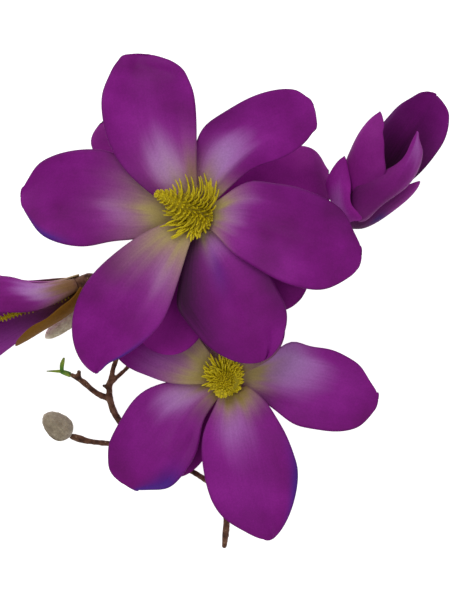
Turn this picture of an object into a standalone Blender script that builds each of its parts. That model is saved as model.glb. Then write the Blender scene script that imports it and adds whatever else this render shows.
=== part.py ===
"""A cut magnolia branch lying on a table.

Two open blooms, an opening bud, a half-open bloom, fuzzy winter buds, a leaf shoot and the woody stem that
carries them. Metres, up is +Z, the blooms face up.
"""

import math
import random

import bmesh
import bpy
import numpy as np
from mathutils import Vector

MM = 0.001

for old in list(bpy.data.objects):
    bpy.data.objects.remove(old, do_unlink=True)

BRANCH = bpy.data.collections.new("magnolia_branch")
bpy.context.scene.collection.children.link(BRANCH)

# The middle of the branch's footprint in the layout below, which is moved to 0, 0
MIDDLE_X = -15.7
MIDDLE_Y = -3.2

# Tepal blades
BLADE = 0.8
ALONG = 8
ACROSS = 6
TIP_SHARE = 0.06
TIP_HOLD = 0.02
CLAW_FLARE = 1.15
STEP = 0.001
LEFT = 0
RIGHT = 1

# Receptacles: the wall the tepals stand against
OPEN_WALL = 5.8
SEAT_GAP = 0.5
LOWER_WALL = 5.2
BUD_WALL = 4.0
BUD_SEAT = BUD_WALL + 0.9

# Pistils: the core stands a little way up its axis, then leans; its bulk is given at shares of its length
CORE_STAND = 1.8
CORE_SHARES = (0.0, 0.06, 0.14, 0.55, 0.9, 1.0)
CORE_BULK = (1.0, 1.05, 1.05, 0.86, 0.55, 0.3)
FIRST_RING = 0.2
RING_SPAN = 0.72

# Styles: how much of their length they reach at shares of the core, and how far their roots sink into it
STYLE_SHARES = (0.0, 0.3, 0.55, 0.75, 1.0)
STYLE_REACH = (1.0, 1.0, 0.75, 0.25, 0.0)
STYLE_ROOT = 0.55
STYLE_OUT = 0.9
STYLE_ALONG = 0.55
STYLE_LEAN = 0.5
TURN_SPREAD = 0.12
SHORTEST = 0.85
LONGEST = 1.15

# Spikes: bends and taper of one style or stamen
SPIKE_SHARES = (0.0, 0.55, 1.0)
SPIKE_TAPER = (1.0, 0.8, 0.45)
SPIKE_BEND = 0.45

# Stamens: the disc they stand on, and how far each row leans out
DISC_SIDE = 1.2
DISC_TOP = 1.8
DISC_BEVEL = 0.6
STAMEN_ROOT = 0.5
STAMEN_LEAN = 0.55
STAMEN_ROW_LEAN = 0.5
STAMEN_ROW_SHORTER = 0.12
STAMEN_BEND = 0.25


def material(name, colour, roughness):
    """One plain material; colour is linear."""
    made = bpy.data.materials.new(name)
    made.use_nodes = True
    shader = made.node_tree.nodes["Principled BSDF"]
    shader.inputs["Base Color"].default_value = (*colour, 1.0)
    shader.inputs["Roughness"].default_value = roughness
    made.diffuse_color = (*colour, 1.0)
    return made


TEPAL_SKIN = material("tepal_purple", (0.19, 0.012, 0.19), 0.5)
OUTER_SKIN = material("outer_tepal_purple", (0.12, 0.008, 0.13), 0.55)
CENTRE_SKIN = material("centre_olive_yellow", (0.27, 0.22, 0.01), 0.7)
BARK = material("bark_brown", (0.10, 0.045, 0.025), 0.8)
FUR = material("bud_fur", (0.26, 0.2, 0.13), 0.9)
LEAF_SKIN = material("leaf_green", (0.15, 0.28, 0.03), 0.6)


def show(name, mesh, skin):
    """Add a finished mesh as one named piece."""
    piece = bpy.data.objects.new(name, mesh)
    mesh.materials.clear()
    mesh.materials.append(skin)
    BRANCH.objects.link(piece)
    return piece


def placed(point):
    """Layout millimetres to metres about the middle of the footprint."""
    return Vector(((point[0] - MIDDLE_X) * MM, (point[1] - MIDDLE_Y) * MM, point[2] * MM))


# Flower frames
class Flower:
    """Where a bloom stands and which way its axis points; azimuths turn anticlockwise about the axis.

    For a leaning flower azimuth 0 is the left side seen from above and 90 the upper side.
    """

    def __init__(self, foot, plan=None, rise=90.0):
        self.foot = np.array(foot, float)
        if plan is None:
            self.axes = np.eye(3)
            return
        a, e = math.radians(plan), math.radians(rise)
        axis = np.array([math.cos(e) * math.cos(a), math.cos(e) * math.sin(a), math.sin(e)])
        left = np.array([-math.sin(a), math.cos(a), 0.0])
        self.axes = np.stack([left, np.cross(axis, left), axis], axis=1)

    def at(self, radius, azimuth, height):
        """A layout point from its distance off the axis, azimuth in degrees and height up the axis."""
        a = math.radians(azimuth)
        local = np.array([radius * math.cos(a), radius * math.sin(a), height])
        return self.foot + self.axes @ local

    def out(self, points):
        """Layout points of an array of the flower's own points."""
        return self.foot + points @ self.axes.T


# Tepal surface
def spread_line(points, share):
    """Points of a cubic Bezier at shares of its length."""
    t = np.linspace(0.0, 1.0, 200)[:, None]
    p = np.array(points)
    line = (1 - t) ** 3 * p[0] + 3 * t * (1 - t) ** 2 * p[1] + 3 * t * t * (1 - t) * p[2] + t ** 3 * p[3]
    length = np.concatenate([[0.0], np.cumsum(np.linalg.norm(np.diff(line, axis=0), axis=1))])
    length = length / length[-1]
    return np.stack([np.interp(share, length, line[:, k]) for k in range(3)], axis=-1)


def half_width(share, claw, shoulder, blunt):
    """Half-width of a tepal as a share of its widest.

    It is claw at the seat and 1 at the shoulder, and rounds off to the tip.
    """
    rise = claw + (1 - claw) * np.sin(0.5 * math.pi * np.clip(share / shoulder, 0, 1)) ** CLAW_FLARE
    beyond = np.clip((share - shoulder) / (1 - shoulder), 0, 1)
    fall = np.maximum(np.clip(1 - beyond ** blunt, 0, None) ** (1 / blunt), TIP_SHARE)
    return np.where(share < shoulder, rise, fall)


def edge_width(share, edge, wide, claw, shoulder, blunt, trims):
    """Half-widths in millimetres from the midrib to one edge, with the trims of that edge."""
    width = wide[edge] * half_width(share, claw, shoulder[edge], blunt[edge])
    held = np.clip((1 - share) / TIP_HOLD, 0, 1)
    for side, place, reach, grow in trims:
        if side == edge:
            width = width + grow * np.exp(-((share - place) / reach) ** 2) * held
    return np.maximum(width, TIP_SHARE * wide[edge])


def tepal(name, flower, turn, seat, run, wide, cup=(16, 16, 14, 8), claw=0.24, shoulder=(0.62, 0.62),
          blunt=(2.2, 2.2), trims=(), skin=TEPAL_SKIN, rest=False):
    """One petal-like blade.

    turn is its azimuth; seat is (distance off the axis, height) of its foot; run holds three more points of
    its midrib as (distance, swing in degrees, height); wide, shoulder and blunt are (anticlockwise side,
    clockwise side); cup is the curl across the blade in degrees from seat to tip; trims are (edge, share of
    the length, reach, millimetres that the edge swells); rest flattens what would go below the table.
    """
    a0 = math.radians(turn)
    spine = []
    for radius, swing, height in [(seat[0], 0.0, seat[1])] + list(run):
        a = a0 + math.radians(swing)
        spine.append([radius * math.cos(a), radius * math.sin(a), height])
    share = np.sin(0.5 * math.pi * np.linspace(0.0, 1.0, ALONG + 1))
    line = spread_line(spine, share)
    before, after = [spread_line(spine, np.clip(share + shift, 0, 1)) for shift in (-STEP, STEP)]
    ahead = (after - before) / np.linalg.norm(after - before, axis=1)[:, None]
    across = np.array([-math.sin(a0), math.cos(a0), 0.0])
    side = across - (ahead @ across)[:, None] * ahead
    side = side / np.linalg.norm(side, axis=1)[:, None]
    inner = np.cross(ahead, side)
    curl = np.radians(np.interp(share, [0, 0.35, 0.7, 1], cup))
    widths = [edge_width(share, edge, wide, claw, shoulder, blunt, trims) for edge in (LEFT, RIGHT)]

    sheet = bmesh.new()
    bmesh.ops.create_grid(sheet, x_segments=ALONG, y_segments=ACROSS, size=0.5)
    for vert in sheet.verts:
        i = round((vert.co.x + 0.5) * ALONG)
        v = 2 * vert.co.y
        w = widths[LEFT if v >= 0 else RIGHT][i]
        sideways = w * math.sin(curl[i] * v) / curl[i]
        lifted = w * (1 - math.cos(curl[i] * v)) / curl[i]
        vert.co = placed(flower.out(line[i] + side[i] * sideways + inner[i] * lifted))
    bmesh.ops.triangulate(sheet, faces=sheet.faces[:])
    mesh = bpy.data.meshes.new(name)
    sheet.to_mesh(mesh)
    sheet.free()
    piece = show(name, mesh, skin)
    solid = piece.modifiers.new("blade", "SOLIDIFY")
    solid.thickness = BLADE * MM
    solid.offset = 0.0
    if rest:
        whole = bpy.data.meshes.new_from_object(piece.evaluated_get(bpy.context.evaluated_depsgraph_get()))
        piece.modifiers.clear()
        for vert in whole.vertices:
            vert.co.z = max(vert.co.z, 0.0)
        piece.data = whole
    return piece


# Solids of revolution and wood
def tube(name, points, radii, smooth=True, sides=1, steps=3):
    """A closed round limb through the points, with its own radius at each, as a mesh."""
    curve = bpy.data.curves.new(name, "CURVE")
    curve.dimensions = "3D"
    curve.bevel_depth = MM
    curve.bevel_resolution = sides
    curve.use_fill_caps = True
    curve.resolution_u = steps
    spline = curve.splines.new("NURBS" if smooth else "POLY")
    spline.points.add(len(points) - 1)
    for point, spot, radius in zip(spline.points, points, radii):
        point.co = (*placed(spot), 1.0)
        point.radius = radius
    if smooth:
        spline.order_u = 3
        spline.use_endpoint_u = True
    limb = bpy.data.objects.new(name, curve)
    mesh = bpy.data.meshes.new_from_object(limb)
    bpy.data.objects.remove(limb)
    rough = bmesh.new()
    rough.from_mesh(mesh)
    bmesh.ops.remove_doubles(rough, verts=rough.verts[:], dist=1e-6)
    rough.to_mesh(mesh)
    rough.free()
    return mesh


def fused(name, meshes, skin):
    """One solid from several overlapping ones."""
    helpers = bpy.data.collections.new(name + "_pieces")
    bpy.context.scene.collection.children.link(helpers)
    for index, mesh in enumerate(meshes[1:]):
        helpers.objects.link(bpy.data.objects.new(f"{name}_piece_{index}", mesh))
    piece = show(name, meshes[0], skin)
    union = piece.modifiers.new("join", "BOOLEAN")
    union.operation = "UNION"
    union.operand_type = "COLLECTION"
    union.collection = helpers
    union.solver = "EXACT"
    joined = bpy.data.meshes.new_from_object(piece.evaluated_get(bpy.context.evaluated_depsgraph_get()))
    piece.modifiers.clear()
    piece.data = joined
    joined.materials.clear()
    joined.materials.append(skin)
    for helper in list(helpers.objects):
        bpy.data.objects.remove(helper, do_unlink=True)
    bpy.data.collections.remove(helpers)
    return piece


# The four flowers
UPPER = Flower((-13.6, 41.4, 0.0))
LOWER = Flower((2.0, -41.0, 0.0))
BUD = Flower((61.25, 38.5, 13.1), plan=55.0, rise=20.0)
SIDE = Flower((-68.3, 10.2, 25.0), plan=202.0, rise=8.0)

# Upper bloom: six broad tepals in two whorls over four outer ones
INNER = (OPEN_WALL + SEAT_GAP, 40.0)
MIDDLE = (OPEN_WALL + SEAT_GAP, 36.0)
OUTER = (OPEN_WALL + SEAT_GAP, 32.0)
tepal("upper_tepal_top", UPPER, 125, INNER, [(30, 0, 50), (62, -7, 56), (84, -18.5, 51)], (24, 23),
      shoulder=(0.62, 0.68), blunt=(2.4, 2.2), trims=[(LEFT, 0.86, 0.07, -1.3), (RIGHT, 0.95, 0.08, 1.9)])
tepal("upper_tepal_right", UPPER, 4, INNER, [(30, -6, 50), (58, -20, 57), (84, -17.5, 47)], (24.5, 23),
      shoulder=(0.5, 0.62), blunt=(2.2, 2.3), trims=[(LEFT, 0.2, 0.12, 4.0), (LEFT, 0.94, 0.09, -3.4),
      (RIGHT, 0.18, 0.16, 3.0), (RIGHT, 0.93, 0.09, -2.8)])
tepal("upper_tepal_low_left", UPPER, 222, INNER, [(30, 0, 50), (64, 8, 56), (93, 15, 44)], (22, 24),
      shoulder=(0.55, 0.55), blunt=(1.6, 1.9), trims=[(LEFT, 0.4, 0.35, -2.3), (LEFT, 0.86, 0.12, -3.0),
      (LEFT, 0.68, 0.12, -1.0), (RIGHT, 0.38, 0.2, -2.8)])
tepal("upper_tepal_high_right", UPPER, 68, MIDDLE, [(32, 4, 43), (54, -13, 58), (79, -24.5, 60)], (19, 17),
      shoulder=(0.45, 0.68), blunt=(2.4, 2.3), trims=[(LEFT, 0.42, 0.12, 1.9), (RIGHT, 0.43, 0.18, -2.7)])
tepal("upper_tepal_low", UPPER, -68, MIDDLE, [(28, 0, 43), (56, 3, 50), (78.7, 2, 46)], (23, 26),
      shoulder=(0.6, 0.5), blunt=(2.2, 2.0), trims=[(LEFT, 0.93, 0.1, -1.8), (LEFT, 0.6, 0.1, -1.4),
      (RIGHT, 0.43, 0.12, 2.3), (RIGHT, 0.9, 0.12, -0.8)])
tepal("upper_tepal_left", UPPER, 166, MIDDLE, [(30, 0, 43), (62, 4, 53), (89, 7, 48)], (25, 24),
      shoulder=(0.6, 0.6), blunt=(2.2, 1.95), trims=[(LEFT, 0.44, 0.14, -2.7), (LEFT, 0.96, 0.06, -3.2),
      (RIGHT, 0.52, 0.12, 1.2), (RIGHT, 0.97, 0.05, -4.0)])
tepal("upper_outer_high_left", UPPER, 135, OUTER, [(26, 0, 33), (54, 0, 24), (72, 0, -1.0)], (15, 17),
      claw=0.2, skin=OUTER_SKIN, rest=True)
tepal("upper_outer_right", UPPER, 21, OUTER, [(30, 0, 33), (58, 0, 24), (72, 0, -1.0)], (18, 18), claw=0.2,
      skin=OUTER_SKIN, rest=True)
tepal("upper_outer_low_right", UPPER, -38, OUTER, [(26, 0, 34), (50, 0, 37), (66, 0, 35)], (18, 18),
      claw=0.16, skin=OUTER_SKIN)
tepal("upper_outer_low", UPPER, 254, OUTER, [(26, 0, 34), (50, 0, 37), (71, 0, 34)], (19, 19), claw=0.16,
      skin=OUTER_SKIN)

# Lower bloom: the same make, part of it under the upper bloom
LOWER_INNER = (LOWER_WALL + SEAT_GAP, 21.0)
LOWER_MIDDLE = (LOWER_WALL + SEAT_GAP, 17.5)
LOWER_OUTER = (LOWER_WALL + SEAT_GAP, 14.0)
tepal("lower_tepal_high_left", LOWER, 160, LOWER_INNER, [(24, 0, 28), (46, -4, 30), (66, -7, 25)], (16, 20),
      trims=[(LEFT, 0.54, 0.12, -1.0)])
tepal("lower_tepal_low", LOWER, -73, LOWER_INNER, [(26, 0, 28), (54, -6, 31), (84, -2, 24)], (24, 23),
      shoulder=(0.56, 0.62), blunt=(1.55, 1.75), trims=[(LEFT, 0.1, 0.14, 4.2), (LEFT, 0.3, 0.14, 1.1),
      (RIGHT, 0.24, 0.22, 5.0), (RIGHT, 0.9, 0.12, -3.4)])
tepal("lower_tepal_high", LOWER, 56, LOWER_INNER, [(18, 0, 25), (32, 4, 27), (42, 5, 24)], (16, 14))
tepal("lower_tepal_low_left", LOWER, 203, LOWER_MIDDLE, [(26, 0, 23), (48, 14, 27), (75, 24, 20)],
      (21.5, 20.5), blunt=(2.4, 2.8), trims=[(LEFT, 0.27, 0.16, -2.6), (LEFT, 0.96, 0.07, -4.0),
      (RIGHT, 0.4, 0.17, 2.9), (RIGHT, 0.89, 0.07, -2.4)])
tepal("lower_tepal_right", LOWER, 4, LOWER_MIDDLE, [(26, 0, 23), (52, -10, 27), (77, -11.5, 21)], (21, 21),
      trims=[(LEFT, 0.33, 0.1, 4.6), (LEFT, 0.76, 0.12, -2.0), (LEFT, 0.93, 0.1, -5.4),
      (RIGHT, 0.44, 0.12, 1.5)])
tepal("lower_tepal_back", LOWER, 116, LOWER_MIDDLE, [(16, 0, 20), (28, 0, 23), (38, 0, 22)], (13, 13))
tepal("lower_outer_low_left", LOWER, 240, LOWER_OUTER, [(24, 0, 15), (42, 0, 14), (58, -3, 11)], (11.5, 13),
      claw=0.2, skin=OUTER_SKIN)
tepal("lower_outer_right", LOWER, 14, LOWER_OUTER, [(24, -6, 15), (40, -12, 14), (54, -15, 10)], (14, 14),
      claw=0.2, skin=OUTER_SKIN)
tepal("lower_outer_high_left", LOWER, 140, LOWER_OUTER, [(20, 0, 14), (34, 4, 14), (50, 8, 12)], (14, 14),
      claw=0.2, skin=OUTER_SKIN)

# Opening bud: three inner tepals wrapped round each other in three shorter outer ones
WRAP = (55, 55, 48, 25)
tepal("bud_tepal_back", BUD, 262, (BUD_SEAT, 8), [(17, 0, 18.5), (20, 0, 62.5), (7, 8, 82)], (17, 18.5),
      cup=WRAP, claw=0.28, blunt=(2.5, 2.5), trims=[(LEFT, 0.86, 0.12, -1.6), (RIGHT, 0.86, 0.12, -0.8)])
tepal("bud_tepal_left", BUD, 52.3, (BUD_SEAT, 7.2), [(16.2, -9.8, 14.4), (25.7, -12.3, 40.5),
      (20.9, -26.6, 62.2)], (15.7, 7.8), cup=(48, 55, 38, 13), claw=0.34, shoulder=(0.58, 0.42),
      blunt=(1.6, 1.15), trims=[(LEFT, 0.9, 0.07, -2.4), (LEFT, 0.38, 0.14, 2.4), (RIGHT, 0.18, 0.2, 3.6)])
tepal("bud_tepal_front", BUD, 109.7, (BUD_SEAT, 5), [(21.7, 0, 11.3), (27.1, 4.6, 52.1),
      (10.7, -7.6, 65.2)], (12.8, 13.6), cup=(51, 56, 47, 23), claw=0.45, shoulder=(0.55, 0.34),
      blunt=(1.75, 1.25), trims=[(LEFT, 0.4, 0.27, -7.2), (RIGHT, 0.76, 0.16, -4.8)])
tepal("bud_outer_left", BUD, 73.9, (BUD_SEAT, 3), [(17, -3, 9.5), (25, -16.2, 20.5), (22.5, -47.7, 33.1)],
      (4.6, 12.1), cup=(38, 31, 35, 6), claw=0.45, blunt=(1.3, 1.3), skin=OUTER_SKIN,
      trims=[(LEFT, 0.2, 0.14, 8.0), (RIGHT, 0.25, 0.2, 2.2), (RIGHT, 0.75, 0.2, -2.5)])
tepal("bud_outer_right", BUD, 176.4, (BUD_SEAT, 1.9), [(16.1, -1.5, 5.6), (20.1, 2.2, 27.7),
      (18.4, 12.7, 40.6)], (7.2, 15.5), cup=(50, 47, 52, 54), claw=0.36, blunt=(1.7, 1.5), skin=OUTER_SKIN,
      trims=[(RIGHT, 0.15, 0.2, 4.0)])
tepal("bud_outer_under", BUD, 285, (BUD_SEAT, 4), [(20, 0, 10.5), (25, 0, 30.5), (18, 0, 48.5)], (12, 12),
      cup=WRAP, claw=0.28, blunt=(1.7, 1.7), skin=OUTER_SKIN)

# Half-open side bloom: the same order, its mouth a little wider
tepal("side_tepal_high", SIDE, 96.3, (BUD_SEAT, 8), [(8, 0.7, 20.2), (12.1, 16.6, 40.7), (27, 47.9, 76)],
      (12.9, 10.7), cup=(47, 46, 35, 18), claw=0.3, shoulder=(0.7, 0.7), trims=[(LEFT, 0.3, 0.14, -2.4),
      (RIGHT, 0.3, 0.2, 2.2)])
tepal("side_tepal_low", SIDE, 322.1, (BUD_SEAT, 8.1), [(10.3, 4.2, 17), (11.5, 10.3, 39.7),
      (20, 14.3, 74.3)], (13.6, 10.7), cup=(47, 64, 40, 21), claw=0.26)
tepal("side_tepal_under", SIDE, 236.8, (BUD_SEAT, 8.6), [(8.5, 1.8, 21.3), (13.2, 3.9, 47.4),
      (21.8, 3.1, 75.9)], (14.8, 14.6), cup=(44, 32, 22, 11), claw=0.26)
tepal("side_outer_high", SIDE, 193.4, (BUD_SEAT, 4.5), [(8.5, 4.6, 17.8), (12.4, 3.1, 28.7),
      (29.5, 4.4, 61.8)], (10.7, 10.4), cup=(37, 52, 35, 21), claw=0.3, skin=OUTER_SKIN)
tepal("side_outer_low", SIDE, 299.5, (BUD_SEAT, 4.7), [(14.4, -0.1, 18.2), (16.8, -0.1, 36.8),
      (23.5, 0, 64)], (11, 8.5), cup=(46, 45, 32, 15), claw=0.28, skin=OUTER_SKIN)
tepal("side_outer_front", SIDE, 24.5, (BUD_SEAT, 5.2), [(12.4, 1.3, 12.4), (15.2, 7.7, 27.6),
      (20.9, 10.8, 49.3)], (4, 4), cup=(51, 47, 32, 49), claw=0.7, skin=OUTER_SKIN)


# Wood
def column(flower, heights, radii):
    """A receptacle: a round post on the flower's axis."""
    return tube("post", [flower.at(0, 0, h) for h in heights], radii, smooth=False, sides=4)


WOOD = [
    tube("main", [(-0.5, -128.4, 0.7), (0.5, -120.5, 1.5), (1.0, -114, 2.6), (-1.6, -98, 3.8),
                  (-0.5, -73, 4.2), (2.0, -49, 4.4), (-1.6, -31, 4.2), (-10, -15, 4.6), (-13, -6, 5.0),
                  (-15, 12, 10), (-14.2, 30, 18), (-13.6, 41.4, 27)],
         [1.2, 2.0, 1.5, 1.7, 2.0, 2.4, 2.4, 2.7, 3.0, 3.0, 3.4, 4.4]),
    column(UPPER, (24, 27, 29, 41, 42), (3.4, 5.0, OPEN_WALL, OPEN_WALL, 4.9)),
    column(LOWER, (3.4, 8, 11.5, 22.0, 22.8), (2.6, 3.2, LOWER_WALL, LOWER_WALL, 4.4)),
    tube("to_side_bloom", [(-13, -5, 5.0), (-28, 0, 6), (-49, 5.0, 14), (-60, 9.0, 21), (-67, 10.8, 24.7)],
         [2.6, 2.2, 2.2, 2.6, 3.2]),
    column(SIDE, (-2, 1, 3, 11, 11.8), (3.0, 4.2, BUD_WALL, BUD_WALL, 3.2)),
    tube("to_bud", [(-13, -6, 5.0), (3, 5.4, 5.2), (28.6, 21.8, 7), (49, 31.6, 9.4), (59.6, 37.0, 12.4)],
         [2.6, 2.2, 2.1, 2.3, 3.0]),
    column(BUD, (-2, 1, 3, 11, 11.8), (2.8, 3.8, BUD_WALL, BUD_WALL, 3.2)),
    tube("to_twigs", [(-1.6, -99.5, 4.0), (-9.9, -94.6, 3.6), (-17.7, -89.4, 3.6), (-32, -81, 3.6),
                      (-44.2, -76.2, 3.4), (-60.3, -74.6, 3.2), (-70.7, -73.6, 3.4), (-76, -71.9, 4.0),
                      (-80, -70.6, 5.2)],
         [1.7, 1.5, 1.4, 1.5, 1.7, 1.4, 1.4, 2.2, 1.5]),
    tube("upper_twig", [(-43.5, -77, 3.4), (-50, -68.5, 3.4), (-56.2, -61.4, 3.4), (-59.3, -54.6, 3.4),
                        (-60, -49, 3.4), (-60.3, -44.7, 3.5), (-58.8, -39.5, 3.8), (-58.0, -34.5, 4.2),
                        (-55, -27, 5)],
         [1.6, 1.7, 1.8, 1.8, 1.6, 1.7, 1.4, 1.3, 1.4]),
    tube("left_arm", [(-59.8, -51.4, 3.4), (-65, -49.6, 3.4), (-69.7, -46.3, 3.6), (-73.8, -42.1, 3.8),
                      (-80.0, -38.7, 4.2)],
         [1.7, 1.5, 1.5, 1.6, 1.2]),
    tube("right_arm", [(-60.2, -44.6, 3.4), (-58, -41.6, 4.4), (-54.4, -38.6, 5.0), (-51, -35.6, 5.6),
                       (-46.5, -30.5, 6.2)],
         [1.4, 1.2, 1.1, 1.1, 1.2]),
    tube("to_fuzzy_bud", [(-50, 5.8, 14), (-57, 1.8, 13.6), (-66, -1.2, 13.8), (-71.4, -3.0, 14.0)],
         [1.8, 1.3, 1.2, 1.5]),
    tube("spur", [(-75.5, -41.4, 3.9), (-76.2, -38.8, 4.3), (-75.7, -36.8, 4.6)], [1.0, 0.8, 0.8]),
    tube("node_bud", [(-60.2, -45.4, 3.5), (-62.4, -44.9, 3.9), (-63.4, -44.2, 4.2)], [1.2, 1.1, 0.7]),
    tube("hidden_bud_1", [(-55.3, -27.8, 4.9), (-54.2, -24.6, 5.4), (-53.4, -21.5, 5.8)], [1.3, 2.0, 0.6]),
    tube("hidden_bud_2", [(-47, -31, 6.1), (-44.8, -28.6, 6.5), (-42.8, -26.4, 6.9)], [1.0, 1.7, 0.6]),
]
wood = fused("branch_wood", WOOD, BARK)
for vert in wood.data.vertices:
    vert.co.z = max(vert.co.z, 0.0)


# Flower centres
def spike(foot, heading, length, thick, droop):
    """A short curved style or stamen, four-sided, bending toward droop."""
    foot = np.array(foot, float)
    heading = np.array(heading, float)
    heading = heading / np.linalg.norm(heading)
    bend = np.array(droop, float)
    points = [foot + heading * length * s + bend * length * s * s for s in SPIKE_SHARES]
    return tube("spike", points, [thick * share for share in SPIKE_TAPER], smooth=False, sides=0)


def pistil(flower, foot, lean, length, thick, rings, per_ring, styles, style_thick, seed):
    """A tapering core set round with curved styles that point up along it.

    foot and lean are in the flower's own frame; styles are (longest, shortest) lengths: the longest stand
    level near the core's foot, the shortest near its tip.
    """
    dice = random.Random(seed)
    foot = np.array(foot, float)
    way = np.array(lean, float)
    way = way / np.linalg.norm(way)
    stand_share = CORE_SHARES[1]
    spots = []
    for s in CORE_SHARES:
        stand = np.array([0.0, 0.0, CORE_STAND * min(s / stand_share, 1)])
        spots.append(foot + stand + way * length * max(s - stand_share, 0))
    meshes = [tube("core", [flower.out(p) for p in spots], [thick * b for b in CORE_BULK], smooth=False)]
    droop = flower.axes @ (way * SPIKE_BEND)
    across = np.cross(way, [0.0, 0.0, 1.0])
    if np.linalg.norm(across) < 0.1:
        across = np.array([1.0, 0.0, 0.0])
    across = across / np.linalg.norm(across)
    up = np.cross(across, way)
    longest, shortest = styles
    for ring in range(rings):
        share = FIRST_RING + RING_SPAN * ring / (rings - 1)
        here = np.array([np.interp(share, CORE_SHARES, [p[k] for p in spots]) for k in range(3)])
        radius = thick * np.interp(share, CORE_SHARES, CORE_BULK)
        reach = np.interp(share, STYLE_SHARES, STYLE_REACH)
        for index in range(per_ring):
            a = 2 * math.pi * (index + 0.5 * (ring % 2)) / per_ring + dice.uniform(-TURN_SPREAD, TURN_SPREAD)
            off = across * math.cos(a) + up * math.sin(a)
            level = 1 - abs(off[2])
            style = (shortest + (longest - shortest) * reach * level) * dice.uniform(SHORTEST, LONGEST)
            root = here + off * radius * STYLE_ROOT
            heading = flower.axes @ (off * STYLE_OUT + way * (STYLE_ALONG + STYLE_LEAN * share))
            meshes.append(spike(flower.out(root), heading, style, style_thick, droop))
    return meshes


def stamens(flower, height, inner, wall, rings, count, reach, thick, seed):
    """A low disc round the foot of the pistil, set with stamens that lean outward."""
    dice = random.Random(seed)
    spots = [flower.at(0, 0, height + rise) for rise in (0.0, DISC_SIDE, DISC_TOP)]
    meshes = [tube("disc", spots, (wall, wall, wall - DISC_BEVEL), smooth=False, sides=4)]
    for row in range(rings):
        radius = inner + (wall - inner) * (row + 0.6) / (rings + 0.2)
        for index in range(count):
            a = 360.0 * (index + 0.5 * (row % 2)) / count + dice.uniform(-4, 4)
            foot = flower.at(radius, a, height + STAMEN_ROOT)
            off = flower.at(1, a, 0) - flower.at(0, 0, 0)
            heading = off * (STAMEN_LEAN + STAMEN_ROW_LEAN * row) + flower.axes[:, 2]
            length = reach * dice.uniform(SHORTEST, LONGEST) * (1.0 - STAMEN_ROW_SHORTER * row)
            meshes.append(spike(foot, heading, length, thick, off * STAMEN_BEND))
    return meshes


UPPER_PISTIL = pistil(UPPER, (2.4, 0.6, 42.7), (-0.82, 0.35, 0.46), 28, 3.0, 8, 6, (12.0, 2.0), 0.7, 11)
LOWER_PISTIL = pistil(LOWER, (-0.4, 0.0, 23.6), (-0.2, -0.4, 1.0), 9, 3.2, 4, 7, (5.0, 2.0), 0.6, 13)
BUD_PISTIL = pistil(BUD, (0.0, 0.0, 12.3), (0.0, 0.0, 1.0), 16, 2.4, 4, 6, (3.0, 1.5), 0.55, 15)
SIDE_PISTIL = pistil(SIDE, (0.8, -0.5, 12.3), (0.06, -0.05, 1.0), 38, 1.9, 9, 6, (2.4, 1.4), 0.55, 16)
fused("upper_centre", UPPER_PISTIL + stamens(UPPER, 42.3, 3.6, 6.2, 2, 12, 8.0, 0.7, 12), CENTRE_SKIN)
fused("lower_centre", LOWER_PISTIL + stamens(LOWER, 23.2, 3.2, 6.2, 2, 14, 9.0, 0.7, 14), CENTRE_SKIN)
fused("bud_centre", BUD_PISTIL, CENTRE_SKIN)
fused("side_centre", SIDE_PISTIL, CENTRE_SKIN)


# Fuzzy buds
def fuzzy_bud(name, foot, tip, thick):
    """An egg-shaped bud in grey fur, on the end of its twig."""
    foot = np.array(foot, float)
    tip = np.array(tip, float)
    shares = (0.0, 0.08, 0.25, 0.5, 0.75, 0.93, 1.0)
    bulk = (0.34, 0.7, 0.97, 0.97, 0.78, 0.44, 0.16)
    spots = [foot + (tip - foot) * s for s in shares]
    mesh = tube(name, spots, [thick * b for b in bulk], smooth=False, sides=3)
    return show(name, mesh, FUR)


fuzzy_bud("fuzzy_bud_round", (-80.9, -69.9, 7.6), (-94.0, -59.0, 8.6), 6.6)
fuzzy_bud("fuzzy_bud_slim", (-72.4, -3.4, 14.1), (-92.5, -19.6, 13.0), 4.4)

# Leaf shoot
LEAFLETS = [
    ([(-80.3, -38.4, 4.3), (-83.2, -37.2, 4.6), (-87, -36.9, 5.0), (-92.6, -36.9, 5.2)],
     (1.2, 1.3, 1.1, 0.4)),
    ([(-84.6, -37.2, 4.8), (-84.8, -34.8, 5.6), (-84.2, -32.2, 6.2), (-83.4, -30.0, 6.4)],
     (1.1, 1.4, 1.5, 0.7)),
    ([(-85.0, -37.2, 4.8), (-82.4, -38.4, 5.8), (-80.2, -39.6, 6.1)], (1.1, 1.5, 0.5)),
]
fused("leaf_shoot", [tube("leaflet", points, radii) for points, radii in LEAFLETS], LEAF_SKIN)
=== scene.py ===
"""Looks of a cut magnolia branch that lies on a pale table with its open blooms facing up.

Every CAD node is replaced by a finer piece of the same form: tepals with folds, veins and soft colour,
centres of curved styles and stamens, furred winter buds, barked wood and a small leaf shoot. Sizes are
millimetres in the layout frame of the branch, turned to metres by placed().
"""

import logging
import math
import random
from dataclasses import dataclass, field
from enum import Enum
from typing import Any, Sequence

import bmesh
import bpy
import numpy as np
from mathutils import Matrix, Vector, noise


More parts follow.
